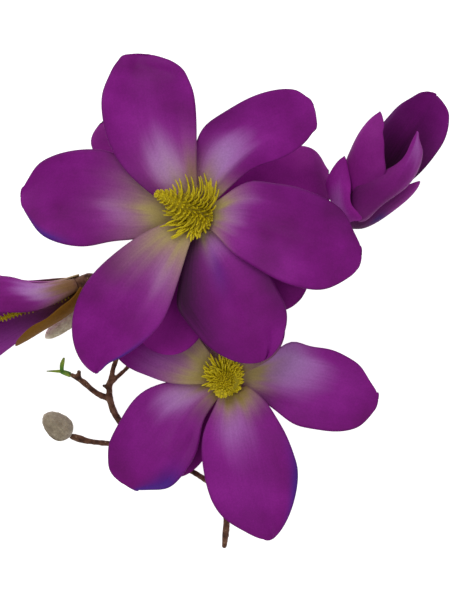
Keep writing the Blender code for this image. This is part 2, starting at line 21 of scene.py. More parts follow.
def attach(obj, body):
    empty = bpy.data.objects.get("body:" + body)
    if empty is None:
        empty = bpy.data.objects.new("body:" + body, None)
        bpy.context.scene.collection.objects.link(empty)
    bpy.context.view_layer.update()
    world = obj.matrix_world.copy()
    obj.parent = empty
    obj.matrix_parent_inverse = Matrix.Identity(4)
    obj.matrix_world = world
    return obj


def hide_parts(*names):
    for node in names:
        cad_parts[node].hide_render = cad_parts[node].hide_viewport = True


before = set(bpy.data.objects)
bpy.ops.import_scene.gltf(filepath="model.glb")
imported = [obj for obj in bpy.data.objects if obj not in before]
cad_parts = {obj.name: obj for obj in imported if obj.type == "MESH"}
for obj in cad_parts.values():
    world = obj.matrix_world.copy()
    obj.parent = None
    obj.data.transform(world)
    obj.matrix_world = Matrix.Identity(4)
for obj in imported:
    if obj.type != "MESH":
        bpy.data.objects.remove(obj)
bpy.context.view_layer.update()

LOG = logging.getLogger("magnolia_branch")

MM = 0.001
BODY = "root"
WHITE = (1.0, 1.0, 1.0, 1.0)

# The record's material slots of the tepals
INNER_SLOT = "tepal_purple"
OUTER_SLOT = "outer_tepal_purple"

# The middle of the branch's footprint in the layout
MIDDLE = np.array([-15.7, -3.2, 0.0])

# Tepal sheets: squares along and across a blade, its thickness, and its width and curl from foot to tip
ALONG = 46
ACROSS = 28
MID_THICK = 0.8
EDGE_THICK = 0.34
TIP_SHARE = 0.025
CLAW_POWER = 1.15
CUP_PLACES = (0, 0.35, 0.7, 1)
CURVE_STEPS = 400
LENGTH_STEPS = 60
NEAR = 0.002
TRIM_END = 0.02
TIP_RIM = 0.9

# Paint on a tepal: painted shade along the rim, and streaks that run ahead along the veins in waves across
# the blade
RIM_SHADE = 0.22
RIM_LANE = 0.99
STREAK = 0.028
STREAK_WAVES = (1.0, 2.2, 3.7, 6.1)
STREAK_SEED = 200

# Relief of a tepal: soft swells, a frilled rim and the midrib's groove, all calm at the seat
SWELLS = 4
SWELL_PITCH = (24, 44)
SWELL_HIGH = 0.22
FRILL_BEATS = (1.6, 2.6)
FRILL_SHIFT = 1.4
RIB_DEEP = 0.22
RIB_WIDE = 0.9
RIB_END = 1.1
CALM_SHARE = 0.12

# Limbs: how far their closing points stand out as a share of the radius, the steps along a limb in
# millimetres, and what a way's level part has to be for it not to count as steep
FOOT_CAP = 0.3
TIP_CAP = 0.6
LIMB_STEP = 0.8
STEEP = 0.2

# Flower centres, as (places, shares of the full size): the core's radius, how far styles reach along it, and
# the radius along one style and one stamen
CORE_TAPER = ((0, 0.1, 0.5, 0.88, 1.0), (1.0, 1.05, 0.85, 0.6, 0.22))
STYLE_REACH = ((0, 0.3, 0.55, 0.72, 1.0), (1.0, 1.0, 0.75, 0.2, 0.0))
STYLE_TAPER = ((0, 0.6, 0.9, 1.0), (1.0, 0.85, 0.7, 0.3))
STAMEN_TAPER = ((0, 0.3, 0.85, 1.0), (0.8, 1.0, 0.9, 0.35))
STAMEN_SEED = 100

# Where the first ring of styles stands on the core, how far the others run, how uneven the lengths are, and
# how far a style bends back
FIRST_RING = 0.04
RING_RUN = 0.93
STYLE_SPREAD = (0.85, 1.12)
STAMEN_SPREAD = (0.85, 1.1)
BACK_BEND = (0.2, 0.28)

# The wall under the stamens: heights about its middle in millimetres, and its radius at each as a share
WALL_HEIGHTS = (-3.2, -2.8, -0.6, 0.6, 1.4, 1.8)
WALL_BULK = (1.2, 1.25, 1.0, 1.0, 0.94, 0.6)

# Winter buds: radius along one as (places, shares), the step that finds its slope, where the hairs end, how
# deep they are rooted, and the radii along one
BUD_TAPER = ((0.0, 0.04, 0.12, 0.25, 0.45, 0.7, 0.88, 0.96, 1.0),
             (0.34, 0.55, 0.8, 0.97, 1.0, 0.84, 0.58, 0.36, 0.08))
SLOPE_STEP = 0.08
HAIR_END = 0.92
HAIR_ROOT = 0.05
HAIR_RADII = np.array([0.11, 0.1, 0.08, 0.03])

# The camera looks straight down from this height over the layout's origin
CAMERA_HEIGHT = 1.1
VIEW_HEIGHT = 0.31278
SENSOR = 24.0

Socket = bpy.types.NodeSocket
Stops = Sequence[tuple[float, str]]


def linear(colour: str) -> tuple[float, float, float, float]:
    """Turn an sRGB hex colour to linear red, green, blue and alpha.

    Args:
        colour: six hex digits with a leading hash.

    Returns:
        The linear colour with full alpha.
    """
    shares = [int(colour[k:k + 2], 16) / 255 for k in (1, 3, 5)]
    red, green, blue = [s / 12.92 if s <= 0.04045 else ((s + 0.055) / 1.055) ** 2.4 for s in shares]
    return red, green, blue, 1.0


def placed(points: np.ndarray) -> np.ndarray:
    """Layout millimetres to metres about the middle of the footprint."""
    return (np.asarray(points, float) - MIDDLE) * MM


def unit(way: np.ndarray) -> np.ndarray:
    """The same direction with a length of one."""
    return way / np.linalg.norm(way, axis=-1, keepdims=True)


def run_length(line: np.ndarray) -> np.ndarray:
    """How far along a line of points each of them lies."""
    return np.concatenate([[0.0], np.cumsum(np.linalg.norm(np.diff(line, axis=0), axis=1))])


# Finishes
@dataclass
class Bench:
    """A material while it is dressed: its tree, the place sockets, the painted shares and its grains."""

    tree: bpy.types.NodeTree
    place: Any = None
    shares: Sequence[Socket] = ()
    grains: Sequence[Socket] = ()

    def add(self, kind: str, links: dict[Any, Any] | None = None, stops: Stops = (), **settings: Any) -> Any:
        """Add one node.

        Args:
            kind: the node's type name without its ShaderNode prefix.
            links: by input name or number, either an output socket to link or a value to set.
            stops: for a colour ramp, places from 0 to 1 with their sRGB hex colours.
            settings: the node's own attributes.

        Returns:
            Its output sockets.
        """
        made = self.tree.nodes.new("ShaderNode" + kind)
        for name, value in settings.items():
            setattr(made, name, value)
        for key, source in (links or {}).items():
            if isinstance(source, Socket):
                self.tree.links.new(source, made.inputs[key])
            else:
                made.inputs[key].default_value = source
        if stops:
            marks = made.color_ramp.elements
            while len(marks) < len(stops):
                marks.new(1.0)
            for mark, (place, colour) in zip(marks, stops):
                mark.position = place
                mark.color = linear(colour)
        return made.outputs


@dataclass(frozen=True)
class Finish:
    """What the finishes share: painted shares on the mesh, grains of real sizes, colour and a bump.

    grains holds (size in millimetres, detail) for each grain; bump is (strength, depth in millimetres).
    """

    name: str
    roughness: float = 0.5
    gloss: float = 0.3
    sheen: float = 0.0
    sheen_rough: float = 0.5
    grains: Sequence[tuple[float, float]] = ((1.0, 3.0),)
    bump: tuple[float, float] = (0.3, 0.1)

    def dress(self, bench: Bench) -> tuple[Socket, Socket]:
        """Paint the finish.

        Args:
            bench: the material on the bench.

        Returns:
            Its colour and its height.
        """
        raise NotImplementedError

    def make(self) -> bpy.types.Material:
        """Make the material.

        Returns:
            The material.
        """
        made = bpy.data.materials.new(self.name)
        made.use_nodes = True
        shader = made.node_tree.nodes["Principled BSDF"]
        for key, value in (("Roughness", self.roughness), ("Specular IOR Level", self.gloss),
                           ("Sheen Weight", self.sheen), ("Sheen Roughness", self.sheen_rough)):
            shader.inputs[key].default_value = value
        bench = Bench(made.node_tree)
        bench.place = bench.add("TexCoord")
        bench.grains = [bench.add("TexNoise", {"Vector": bench.place["Object"], "Scale": 1 / (size * MM),
                                               "Detail": detail})[0] for size, detail in self.grains]
        tone = bench.add("Attribute", attribute_name="tone")
        bench.shares = [*bench.add("SeparateColor", {"Color": tone["Color"]}), tone["Alpha"]]
        colour, height = self.dress(bench)
        made.node_tree.links.new(colour, shader.inputs["Base Color"])
        strength, depth = self.bump
        normal = bench.add("Bump", {"Height": height, "Strength": strength, "Distance": depth * MM})[0]
        made.node_tree.links.new(normal, shader.inputs["Normal"])
        return made


@dataclass(frozen=True)
class TepalSkin(Finish):
    """Living magnolia tepal: a thin waxy skin over soft cells, which gives a satin, slightly velvety purple.

    Fine veins run from foot to tip. The colour has cream at the foot, lavender above it and violet along
    parts of some edges; wide, weak lavender patches are painted light that lifts parts lying in shade, and
    the deep colour is painted shade in folds, along the rim, under overlaps and in the bud's mouth. Its
    grains are the blotches and the cells; real cells are 0.05 mm, and are drawn as coarse as the render can
    show.
    """

    body: str = "#771076"
    bright: str = "#861A86"
    dark: str = "#680C64"
    # the lavender ramp: the tepals' own lavender, and in wide, weak patches painted light on shaded parts
    flush: str = "#8E2890"
    glow: str = "#AE7ABC"
    blush: str = "#A88C80"
    cream: str = "#A8965C"
    violet: str = "#4A1E80"
    # painted shade: the colour of folds, overlaps, the rim and the bud's mouth
    painted_shade: str = "#300A2C"
    rust: str = "#74501A"
    pollen: str = "#8E7E10"
    gloss: float = 0.1
    sheen: float = 0.02
    grains: Sequence[tuple[float, float]] = ((26.0, 3.0), (0.9, 2.0))
    bump: tuple[float, float] = (0.25, 0.12)
    veins: tuple[float, float, float] = (34.0, 2.2, 1.0)  # across and along one blade, about 1.3 mm apart

    def dress(self, bench: Bench) -> tuple[Socket, Socket]:
        """Paint the skin.

        Args:
            bench: the material on the bench.

        Returns:
            Its colour and its height.
        """
        blotch, cells = bench.grains
        cream, glow, violet, painted_shade = bench.shares
        along = bench.add("Mapping", {"Vector": bench.place["UV"], "Scale": self.veins})[0]
        vein = bench.add("TexNoise", {"Vector": along, "Scale": 1.0, "Detail": 4.0, "Roughness": 0.6})[0]
        # streaks break up the borders of the glow and the cream, as pigment follows the veins
        streak, grain, veined = [
            bench.add("MapRange", {"Value": source, "From Min": 0.5 - reach, "From Max": 0.5 + reach,
                                   "To Min": least, "To Max": most})[0]
            for source, reach, least, most in ((vein, 0.2, 0.84, 1.12), (cells, 0.25, 0.9, 1.1),
                                               (vein, 0.25, 0.97, 1.03))]
        colour = bench.add("ValToRGB", {"Fac": blotch}, [(0.3, self.dark), (0.5, self.body),
                                                         (0.7, self.bright)])[0]
        lavender = bench.add("ValToRGB", {"Fac": glow}, [(0.25, self.flush), (0.9, self.glow)])[0]
        tan = bench.add("ValToRGB", {"Fac": cream}, [(0.35, self.blush), (0.95, self.cream)])[0]
        # mix in the lavender (in wide, weak patches painted light), the cream, the violet and the painted
        # shade
        for share, gain, paint in ((glow, 1.7, lavender), (cream, 1.3, tan),
                                   (violet, 1.2, linear(self.violet)), (painted_shade, 1.0, linear(self.painted_shade))):
            raised = bench.add("Math", {0: share, 1: gain}, operation="MULTIPLY")[0]
            factor = bench.add("Math", {0: raised, 1: streak}, operation="MULTIPLY", use_clamp=True)[0]
            colour = bench.add("Mix", {0: factor, 6: colour, 7: paint}, data_type="RGBA")[2]
        tint = bench.add("Attribute", attribute_name="tint")["Color"]
        for share, paint in zip(bench.add("SeparateColor", {"Color": tint}), (self.rust, self.pollen)):
            colour = bench.add("Mix", {0: share, 6: colour, 7: linear(paint)}, data_type="RGBA")[2]
        shade = bench.add("Math", {0: grain, 1: veined}, operation="MULTIPLY")[0]
        colour = bench.add("VectorMath", {0: colour, "Scale": shade}, operation="SCALE")[0]
        return colour, bench.add("Math", {0: vein, 1: 2.0, 2: cells}, operation="MULTIPLY_ADD")[0]


@dataclass(frozen=True)
class StyleSkin(Finish):
    """Magnolia styles and stamens: fleshy, matt, olive-yellow threads; their dark brown towards the core is
    painted shade where they crowd together.
    """

    # painted shade at the roots, where the threads crowd on the core
    root: str = "#2C1A08"
    low: str = "#8E7C04"
    middle: str = "#C4B208"
    tip: str = "#D2C024"
    roughness: float = 0.6
    grains: Sequence[tuple[float, float]] = ((0.8, 3.0),)

    def dress(self, bench: Bench) -> tuple[Socket, Socket]:
        """Paint the threads; the second share tells each from its neighbours.

        Args:
            bench: the material on the bench.

        Returns:
            Its colour and its height.
        """
        grain, = bench.grains
        colour = bench.add("ValToRGB", {"Fac": bench.shares[0]}, [(0.0, self.root), (0.16, self.low),
                                                                  (0.4, self.middle), (1.0, self.tip)])[0]
        lot = bench.add("Math", {0: bench.shares[1], 1: 0.3, 2: 0.72}, operation="MULTIPLY_ADD")[0]
        mottle = bench.add("MapRange", {"Value": grain, "From Min": 0.3, "From Max": 0.7, "To Min": 0.86,
                                        "To Max": 1.16})[0]
        shade = bench.add("Math", {0: lot, 1: mottle}, operation="MULTIPLY")[0]
        return bench.add("VectorMath", {0: colour, "Scale": shade}, operation="SCALE")[0], grain


@dataclass(frozen=True)
class Bark(Finish):
    """Young magnolia bark: thin, matt and brown, lighter grey on its ridges and darker in the hollows, with
    pale breathing pores.
    """

    name: str = "young_bark"
    base: str = "#55331F"
    dark: str = "#33190E"
    ridge: str = "#745440"
    pore: str = "#94795F"
    roughness: float = 0.78
    grains: Sequence[tuple[float, float]] = ((3.2, 5.0), (0.7, 3.0))
    bump: tuple[float, float] = (0.6, 0.3)
    pore_mm: float = 2.6

    def dress(self, bench: Bench) -> tuple[Socket, Socket]:
        """Paint the bark; the first share is its ridges.

        Args:
            bench: the material on the bench.

        Returns:
            Its colour and its height.
        """
        coarse, fine = bench.grains
        pores = bench.add("TexVoronoi", {"Vector": bench.place["Object"], "Scale": 1 / (self.pore_mm * MM)})
        spot = bench.add("ValToRGB", {"Fac": pores["Distance"]}, [(0.1, "#FFFFFF"), (0.17, "#000000")])[0]
        colour = bench.add("ValToRGB", {"Fac": coarse}, [(0.36, self.dark), (0.5, self.base),
                                                         (0.66, self.ridge)])[0]
        for share, paint in ((spot, self.pore), (bench.shares[0], self.ridge)):
            colour = bench.add("Mix", {0: share, 6: colour, 7: linear(paint)}, data_type="RGBA")[2]
        return colour, bench.add("Math", {0: coarse, 1: 2.0, 2: fine}, operation="MULTIPLY_ADD")[0]


@dataclass(frozen=True)
class BudFur(Finish):
    """Winter bud scale: short silky hairs lying flat, grey-tan with darker mottling and a soft shine."""

    skin: str = "#92826A"
    hair: str = "#B0A288"
    shadow: str = "#786852"
    roughness: float = 0.85
    gloss: float = 0.25
    sheen: float = 0.35
    sheen_rough: float = 0.6
    grains: Sequence[tuple[float, float]] = ((3.0, 4.0), (0.5, 2.0))
    bump: tuple[float, float] = (0.5, 0.2)

    def dress(self, bench: Bench) -> tuple[Socket, Socket]:
        """Paint the fur; the first share runs along a hair and the second tells it from its neighbours.

        Args:
            bench: the material on the bench.

        Returns:
            Its colour and its height.
        """
        mottle, fine = bench.grains
        base = bench.add("ValToRGB", {"Fac": mottle}, [(0.3, self.shadow), (0.44, self.skin),
                                                       (0.7, self.hair)])[0]
        colour = bench.add("Mix", {0: bench.shares[0], 6: base, 7: linear(self.hair)}, data_type="RGBA")[2]
        shade = bench.add("Math", {0: bench.shares[1], 1: 0.25, 2: 0.8}, operation="MULTIPLY_ADD")[0]
        return bench.add("VectorMath", {0: colour, "Scale": shade}, operation="SCALE")[0], fine


@dataclass(frozen=True)
class LeafSkin(Finish):
    """Young leaf: a smooth fresh green skin, darker and browner towards the twig."""

    name: str = "young_leaf"
    twig_end: str = "#3E5A1C"
    low: str = "#467A10"
    high: str = "#84A024"
    tip: str = "#66703A"
    gloss: float = 0.4
    grains: Sequence[tuple[float, float]] = ((1.2, 3.0),)

    def dress(self, bench: Bench) -> tuple[Socket, Socket]:
        """Paint the leaves.

        Args:
            bench: the material on the bench.

        Returns:
            Its colour and its height.
        """
        mottle, = bench.grains
        colour = bench.add("ValToRGB", {"Fac": bench.shares[0]}, [(0.0, self.twig_end), (0.25, self.low),
                                                                  (0.7, self.high), (1.0, self.tip)])[0]
        shade = bench.add("MapRange", {"Value": mottle, "From Min": 0.3, "From Max": 0.7, "To Min": 0.8,
                                       "To Max": 1.2})[0]
        return bench.add("VectorMath", {0: colour, "Scale": shade}, operation="SCALE")[0], mottle


@dataclass(frozen=True)
class PaperSweep:
    """Matt white paper under the branch, lit evenly so that it stays pale."""

    name: str = "white_paper"
    colour: str = "#C4C4C4"
    shadow: str = "#BEBEBE"
    fibre_mm: float = 4.0
    glow: float = 0.92

    def make(self) -> bpy.types.Material:
        """Make the material.

        Returns:
            The material.
        """
        made = bpy.data.materials.new(self.name)
        made.use_nodes = True
        shader = made.node_tree.nodes["Principled BSDF"]
        for key, value in (("Roughness", 0.9), ("Specular IOR Level", 0.1), ("Emission Strength", self.glow),
                           ("Emission Color", WHITE)):
            shader.inputs[key].default_value = value
        bench = Bench(made.node_tree)
        place = bench.add("TexCoord")["Object"]
        fibre = bench.add("TexNoise", {"Vector": place, "Scale": 1 / (self.fibre_mm * MM), "Detail": 2.0})[0]
        colour = bench.add("ValToRGB", {"Fac": fibre}, [(0.3, self.shadow), (0.7, self.colour)])[0]
        made.node_tree.links.new(colour, shader.inputs["Base Color"])
        return made


# Meshes
def sideways(way: np.ndarray, spare: Sequence[float]) -> np.ndarray:
    """A level direction square to a way, or the spare one where the way is steep."""
    side = np.cross(way, [0.0, 0.0, 1.0])
    return unit(side if np.linalg.norm(side) >= STEEP else np.asarray(spare, float))


def paint(mesh: bpy.types.Mesh, tones: np.ndarray, name: str = "tone") -> None:
    """Store four paint shares for each corner of a mesh.

    Args:
        mesh: the mesh.
        tones: one row of four shares for each vertex.
        name: what the layer is called.
    """
    layer = mesh.color_attributes.new(name, "FLOAT_COLOR", "POINT")
    layer.data.foreach_set("color", np.clip(tones, 0.0, 1.0).astype(np.float32).ravel())


def stand(name: str, mesh: bpy.types.Mesh) -> bpy.types.Object:
    """Link a mesh to the scene as an object.

    Args:
        name: the object's name.
        mesh: the mesh.

    Returns:
        The object.
    """
    made = bpy.data.objects.new(name, mesh)
    bpy.context.scene.collection.objects.link(made)
    return made


def settle(piece: bpy.types.Object, node: str) -> None:
    """Put a finished piece in the place of its CAD node.

    Args:
        piece: the piece, in place.
        node: the CAD node that it stands for.
    """
    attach(piece, BODY)
    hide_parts(node)
    LOG.info("%s: %d faces", piece.name, len(piece.data.polygons))


@dataclass
class Shape:
    """Corners, faces and paint of one piece while it is put together."""

    corners: list[np.ndarray] = field(default_factory=list)
    faces: list[tuple[int, ...]] = field(default_factory=list)
    tones: list[np.ndarray] = field(default_factory=list)
    count: int = 0

    def add(self, corners: np.ndarray, faces: Sequence[tuple[int, ...]], tone: np.ndarray) -> None:
        """Add one closed part.

        Args:
            corners: its points in layout millimetres.
            faces: its faces, counted from its own first corner.
            tone: four paint shares for each corner.
        """
        self.corners.append(corners)
        self.faces.extend(tuple(index + self.count for index in face) for face in faces)
        self.tones.append(tone)
        self.count += len(corners)

    def limb(self, points: np.ndarray, radii: np.ndarray, sides: int = 6, lot: float = 0.5,
             start: float = 0.0, end: float = 1.0, flat: float = 1.0) -> None:
        """Add a closed round limb along a line of points.

        Args:
            points: its middle line.
            radii: its radius at each point.
            sides: how many sides it has.
            lot: a number from 0 to 1 that tells it from its neighbours.
            start: the paint's place along the limb at its first point.
            end: the same at its last point.
            flat: its thickness as a share of its width.
        """
        points = np.asarray(points, float)
        radii = np.asarray(radii, float)
        ahead = unit(np.gradient(points, axis=0))
        side = sideways(ahead[0], np.cross(ahead[0], [1.0, 0.0, 0.0]))
        turns = 2 * math.pi * np.arange(sides) / sides
        level, high = np.cos(turns), flat * np.sin(turns)
        rings = []
        for point, radius, way in zip(points, radii, ahead):
            side = unit(side - way * (side @ way))
            up = np.cross(way, side)
            rings.append(point + radius * (np.outer(level, side) + np.outer(high, up)))
        last = len(points) - 1
        corners = np.concatenate(rings + [points[:1] - ahead[:1] * radii[0] * FOOT_CAP,
                                          points[-1:] + ahead[-1:] * radii[-1] * TIP_CAP])
        foot, tip = len(corners) - 2, len(corners) - 1
        steps = [(k, (k + 1) % sides) for k in range(sides)]
        faces = [(a + r, b + r, b + r + sides, a + r + sides)
                 for r in range(0, last * sides, sides) for a, b in steps]
        for a, b in steps:
            faces += [(foot, b, a), (tip, last * sides + a, last * sides + b)]
        shares = np.concatenate([np.repeat(np.linspace(start, end, last + 1), sides), [start, end]])
        none = np.zeros(len(corners))
        self.add(corners, faces, np.stack([shares, none + lot, none, none], axis=1))

    def finish(self, name: str, skins: Sequence[bpy.types.Material]) -> bpy.types.Object:
        """Turn the parts into one object with its paint.

        Args:
            name: the piece's name.
            skins: its materials.

        Returns:
            The new object, linked to the scene.
        """
        mesh = bpy.data.meshes.new(name)
        mesh.from_pydata(placed(np.concatenate(self.corners)).tolist(), [], self.faces)
        mesh.update()
        for skin in skins:
            mesh.materials.append(skin)
        mesh.shade_smooth()
        paint(mesh, np.concatenate(self.tones))
        return stand(name, mesh)


# Flowers
@dataclass
class Flower:
    """Where a bloom stands and which way its axis points; azimuths turn anticlockwise about the axis.

    For a leaning flower azimuth 0 is the left side seen from above and 90 the upper side.
    """

    foot: tuple[float, float, float]
    plan: float | None = None
    rise: float = 90.0

    def axes(self) -> np.ndarray:
        """The flower's own directions.

        Returns:
            Its three directions as columns.
        """
        if self.plan is None:
            return np.eye(3)
        a, e = math.radians(self.plan), math.radians(self.rise)
        axis = np.array([math.cos(e) * math.cos(a), math.cos(e) * math.sin(a), math.sin(e)])
        left = np.array([-math.sin(a), math.cos(a), 0.0])
        return np.stack([left, np.cross(axis, left), axis], axis=1)

    def out(self, points: np.ndarray) -> np.ndarray:
        """Layout points of an array of the flower's own points."""
        return np.array(self.foot) + np.asarray(points, float) @ self.axes().T


class Tone(Enum):
    """What a patch paints on a tepal, by its channel."""

    CREAM = 0
    # the tepals' lavender; in wide, weak patches painted light
    GLOW = 1
    VIOLET = 2
    # painted shade
    DEEP = 3
    RUST = 4
    POLLEN = 5


class Edge(Enum):
    """A tepal's two edges, by the way azimuths turn."""

    LEFT = 0
    RIGHT = 1


CREAM, GLOW, VIOLET, DEEP, RUST, POLLEN = Tone
LEFT, RIGHT = Edge


@dataclass(frozen=True)
class Patch:
    """A soft oval of paint; share runs from foot to tip, across from -1, clockwise edge, to 1."""

    tone: Tone
    share: float
    across: float
    reach: float
    spread: float
    strength: float = 1.0

    def cover(self, share: np.ndarray, across: np.ndarray) -> np.ndarray:
        """How much of the patch lies at each place."""
        far = ((share - self.share) / self.reach) ** 2 + ((across - self.across) / self.spread) ** 2
        return self.strength * np.exp(-far)


@dataclass(frozen=True)
class Fold:
    """A ridge along a line on a tepal, or with a negative height a groove; both sizes in millimetres."""

    start: tuple[float, float]
    end: tuple[float, float]
    width: float
    height: float

    def lift(self, share: np.ndarray, across: np.ndarray, long: float, wide: float) -> np.ndarray:
        """How far the fold raises each place of a tepal.

        Args:
            share: places from foot to tip.
            across: places across.
            long: the tepal's length.
            wide: its half-width.

        Returns:
            Heights in millimetres.
        """
        size = np.array([long, wide])
        spot = np.stack([share, across], axis=-1) * size
        a = np.array(self.start) * size
        run = np.array(self.end) * size - a
        t = np.clip(((spot - a) @ run) / (run @ run), 0, 1)
        far = np.linalg.norm(spot - a - t[..., None] * run, axis=-1)
        return self.height * np.exp(-(far / self.width) ** 2)


@dataclass(frozen=True)
class Trim:
    """A soft swelling of one edge, or with a negative grow a drawing-in, in millimetres.

    It lies about a share of the length, and reach is how far it runs.
    """

    edge: Edge
    share: float
    reach: float
    grow: float

    def change(self, share: np.ndarray) -> np.ndarray:
        """How much wider the edge stands at each share."""
        return self.grow * np.exp(-((share - self.share) / self.reach) ** 2)


def spread_line(points: Sequence[Sequence[float]], share: np.ndarray) -> np.ndarray:
    """Points of a cubic Bezier at shares of its length.

    Args:
        points: its four control points.
        share: the shares, from 0 to 1.

    Returns:
        One point for each share.
    """
    t = np.linspace(0.0, 1.0, CURVE_STEPS)[:, None]
    p = np.array(points)
    line = (1 - t) ** 3 * p[0] + 3 * t * (1 - t) ** 2 * p[1] + 3 * t * t * (1 - t) * p[2] + t ** 3 * p[3]
    length = run_length(line)
    length = length / length[-1]
    return np.stack([np.interp(share, length, line[:, k]) for k in range(3)], axis=-1)


def half_width(share: np.ndarray, claw: float, shoulder: float, blunt: float) -> np.ndarray:
    """Half-width of a tepal as a share of its widest.

    Args:
        share: places from foot to tip.
        claw: the width at the seat.
        shoulder: where it is widest.
        blunt: how round the tip is; 2 is an ellipse.

    Returns:
        Shares from claw at the seat to 1 at the shoulder and almost none at the tip.
    """
    rise = claw + (1 - claw) * np.sin(0.5 * math.pi * np.clip(share / shoulder, 0, 1)) ** CLAW_POWER
    beyond = np.clip((share - shoulder) / (1 - shoulder), 0, 1)
    fall = np.maximum(np.clip(1 - beyond ** blunt, 0, None) ** (1 / blunt), TIP_SHARE)
    return np.where(share < shoulder, rise, fall)


def sheet_faces(along: int, across: int) -> list[tuple[int, ...]]:
    """Faces of a closed sheet: all of its front, then all of its back, then its rim.

    Args:
        along: squares from foot to tip.
        across: squares from edge to edge.

    Returns:
        Faces over the front's corners and then the back's, each row by row.
    """
    row = across + 1
    many = (along + 1) * row
    faces = [(a, a + row, a + row + 1, a + 1) for i in range(along) for a in range(i * row, i * row + across)]
    faces += [tuple(many + index for index in reversed(face)) for face in faces]
    loop = [*range(across), *range(across, along * row + across, row),
            *range(along * row + across, along * row, -1), *range(along * row, 0, -row)]
    return faces + [(a, b, many + b, many + a) for a, b in zip(loop, loop[1:] + loop[:1])]


@dataclass
class Tepal:
    """One petal-like blade of a bloom.

    turn is its azimuth; seat is (distance off the axis, height) of its foot; run holds three more points of
    its midrib as (distance, swing in degrees, height); wide, shoulder and blunt are (anticlockwise side,
    clockwise side); cup is the curl across the blade in degrees from seat to tip; rest keeps it above the
    table.
    """

    node: str
    flower: Flower
    turn: float
    seat: tuple[float, float]
    run: Sequence[tuple[float, float, float]]
    wide: tuple[float, float]
    cup: tuple[float, ...] = (16, 16, 14, 8)
    claw: float = 0.24
    shoulder: tuple[float, float] = (0.62, 0.62)
    blunt: tuple[float, float] = (2.2, 2.2)
    rest: bool = False
    slot: str = INNER_SLOT
    patches: Sequence[Patch] = ()
    folds: Sequence[Fold] = ()
    trims: Sequence[Trim] = ()
    wave: float = 0.5
    seed: int = 1

    def lift(self, share: np.ndarray, across: np.ndarray, long: float) -> np.ndarray:
        """How far folds, waves and the midrib raise the blade towards its inner side.

        Args:
            share: places from foot to tip.
            across: places across.
            long: the tepal's length.

        Returns:
            Heights in millimetres.
        """
        dice = random.Random(self.seed)
        wide = sum(self.wide) / 2
        x, y = share * long, across * wide
        raised = np.zeros_like(share)
        for _ in range(SWELLS):
            way = dice.uniform(0, 2 * math.pi)
            turns = (x * math.cos(way) + y * math.sin(way)) / dice.uniform(*SWELL_PITCH)
            raised += SWELL_HIGH * np.sin(2 * math.pi * turns + dice.uniform(0, 6))
        beats, phase = dice.uniform(*FRILL_BEATS), dice.uniform(0, 6)
        frill = np.sin(2 * math.pi * beats * share + phase + FRILL_SHIFT * np.sign(across))
        raised += self.wave * frill * np.abs(across) ** 3 * np.sin(math.pi * np.clip(share, 0, 1)) ** 0.7
        raised -= RIB_DEEP * np.exp(-(y / RIB_WIDE) ** 2) * np.clip(RIB_END - share, 0, 1)
        for fold in self.folds:
            raised += fold.lift(share, across, long, wide)
        return raised * np.clip(share / CALM_SHARE, 0, 1)

    def streaks(self, across: np.ndarray) -> np.ndarray:
        """How far paint runs ahead along the veins.

        Args:
            across: places across.

        Returns:
            For each place a share of the length.
        """
        dice = random.Random(self.seed + STREAK_SEED)
        run = np.zeros_like(across)
        for waves in STREAK_WAVES:
            run += STREAK / waves ** 0.6 * np.sin(math.pi * waves * across + dice.uniform(0, 6))
        return run

    def width(self, share: np.ndarray, edge: Edge) -> np.ndarray:
        """Half-widths from the midrib to one edge.

        Args:
            share: places from foot to tip.
            edge: which edge.

        Returns:
            Widths in millimetres.
        """
        k = edge.value
        wide = self.wide[k] * half_width(share, self.claw, self.shoulder[k], self.blunt[k])
        for trim in self.trims:
            if trim.edge is edge:
                wide = wide + trim.change(share) * np.clip((1 - share) / TRIM_END, 0, 1)
        return np.maximum(wide, TIP_SHARE * self.wide[k])

    def midrib(self) -> list[list[float]]:
        """The four control points of the midrib in the flower's own directions."""
        ways = [(radius, math.radians(self.turn) + math.radians(swing), height)
                for radius, swing, height in [(self.seat[0], 0.0, self.seat[1]), *self.run]]
        return [[radius * math.cos(a), radius * math.sin(a), height] for radius, a, height in ways]

    def sheet(self, share: np.ndarray, lane: np.ndarray) -> tuple[np.ndarray, np.ndarray]:
        """The blade's middle surface and the way that it faces.

        Args:
            share: places from foot to tip.
            lane: places from the clockwise edge, -1, to the other, 1.

        Returns:
            Points and directions, both by share and then by lane.
        """
        spine = self.midrib()
        long = float(run_length(spread_line(spine, np.linspace(0, 1, LENGTH_STEPS)))[-1])
        line = spread_line(spine, share)
        near = [spread_line(spine, np.clip(share + step, 0, 1)) for step in (NEAR, -NEAR)]
        ahead = unit(near[0] - near[1])
        turn = math.radians(self.turn)
        level = np.array([-math.sin(turn), math.cos(turn), 0.0])
        side = unit(level - (ahead @ level)[:, None] * ahead)
        up = np.cross(ahead, side)
        curl = np.radians(np.interp(share, CUP_PLACES, self.cup))[:, None]
        wide = np.where(lane >= 0, self.width(share, LEFT)[:, None], self.width(share, RIGHT)[:, None])
        over = wide * np.sin(curl * lane) / curl
        high = wide * (1 - np.cos(curl * lane)) / curl
        flat = line[:, None, :] + side[:, None, :] * over[..., None] + up[:, None, :] * high[..., None]
        facing = unit(np.cross(np.gradient(flat, axis=0), np.gradient(flat, axis=1)))
        raised = self.lift(*np.broadcast_arrays(share[:, None], lane), long)
        bent = flat + facing * raised[..., None]
        return bent, unit(np.cross(np.gradient(bent, axis=0), np.gradient(bent, axis=1)))

    def tones(self, shares: np.ndarray, lanes: np.ndarray) -> np.ndarray:
        """The paint of one face of the blade.

        Args:
            shares: the share of each corner.
            lanes: the lane of each corner.

        Returns:
            For each corner one share for each tone.
        """
        tone = np.zeros((shares.size, len(Tone)))
        # painted shade along the rim
        tone[:, DEEP.value] = RIM_SHADE * (np.abs(lanes) > RIM_LANE).ravel()
        ragged = shares + self.streaks(lanes)
        for patch in self.patches:
            channel = patch.tone.value
            more = patch.cover(ragged, lanes).ravel()
            tone[:, channel] = 1 - (1 - tone[:, channel]) * (1 - np.clip(more, 0, 1))
        return tone

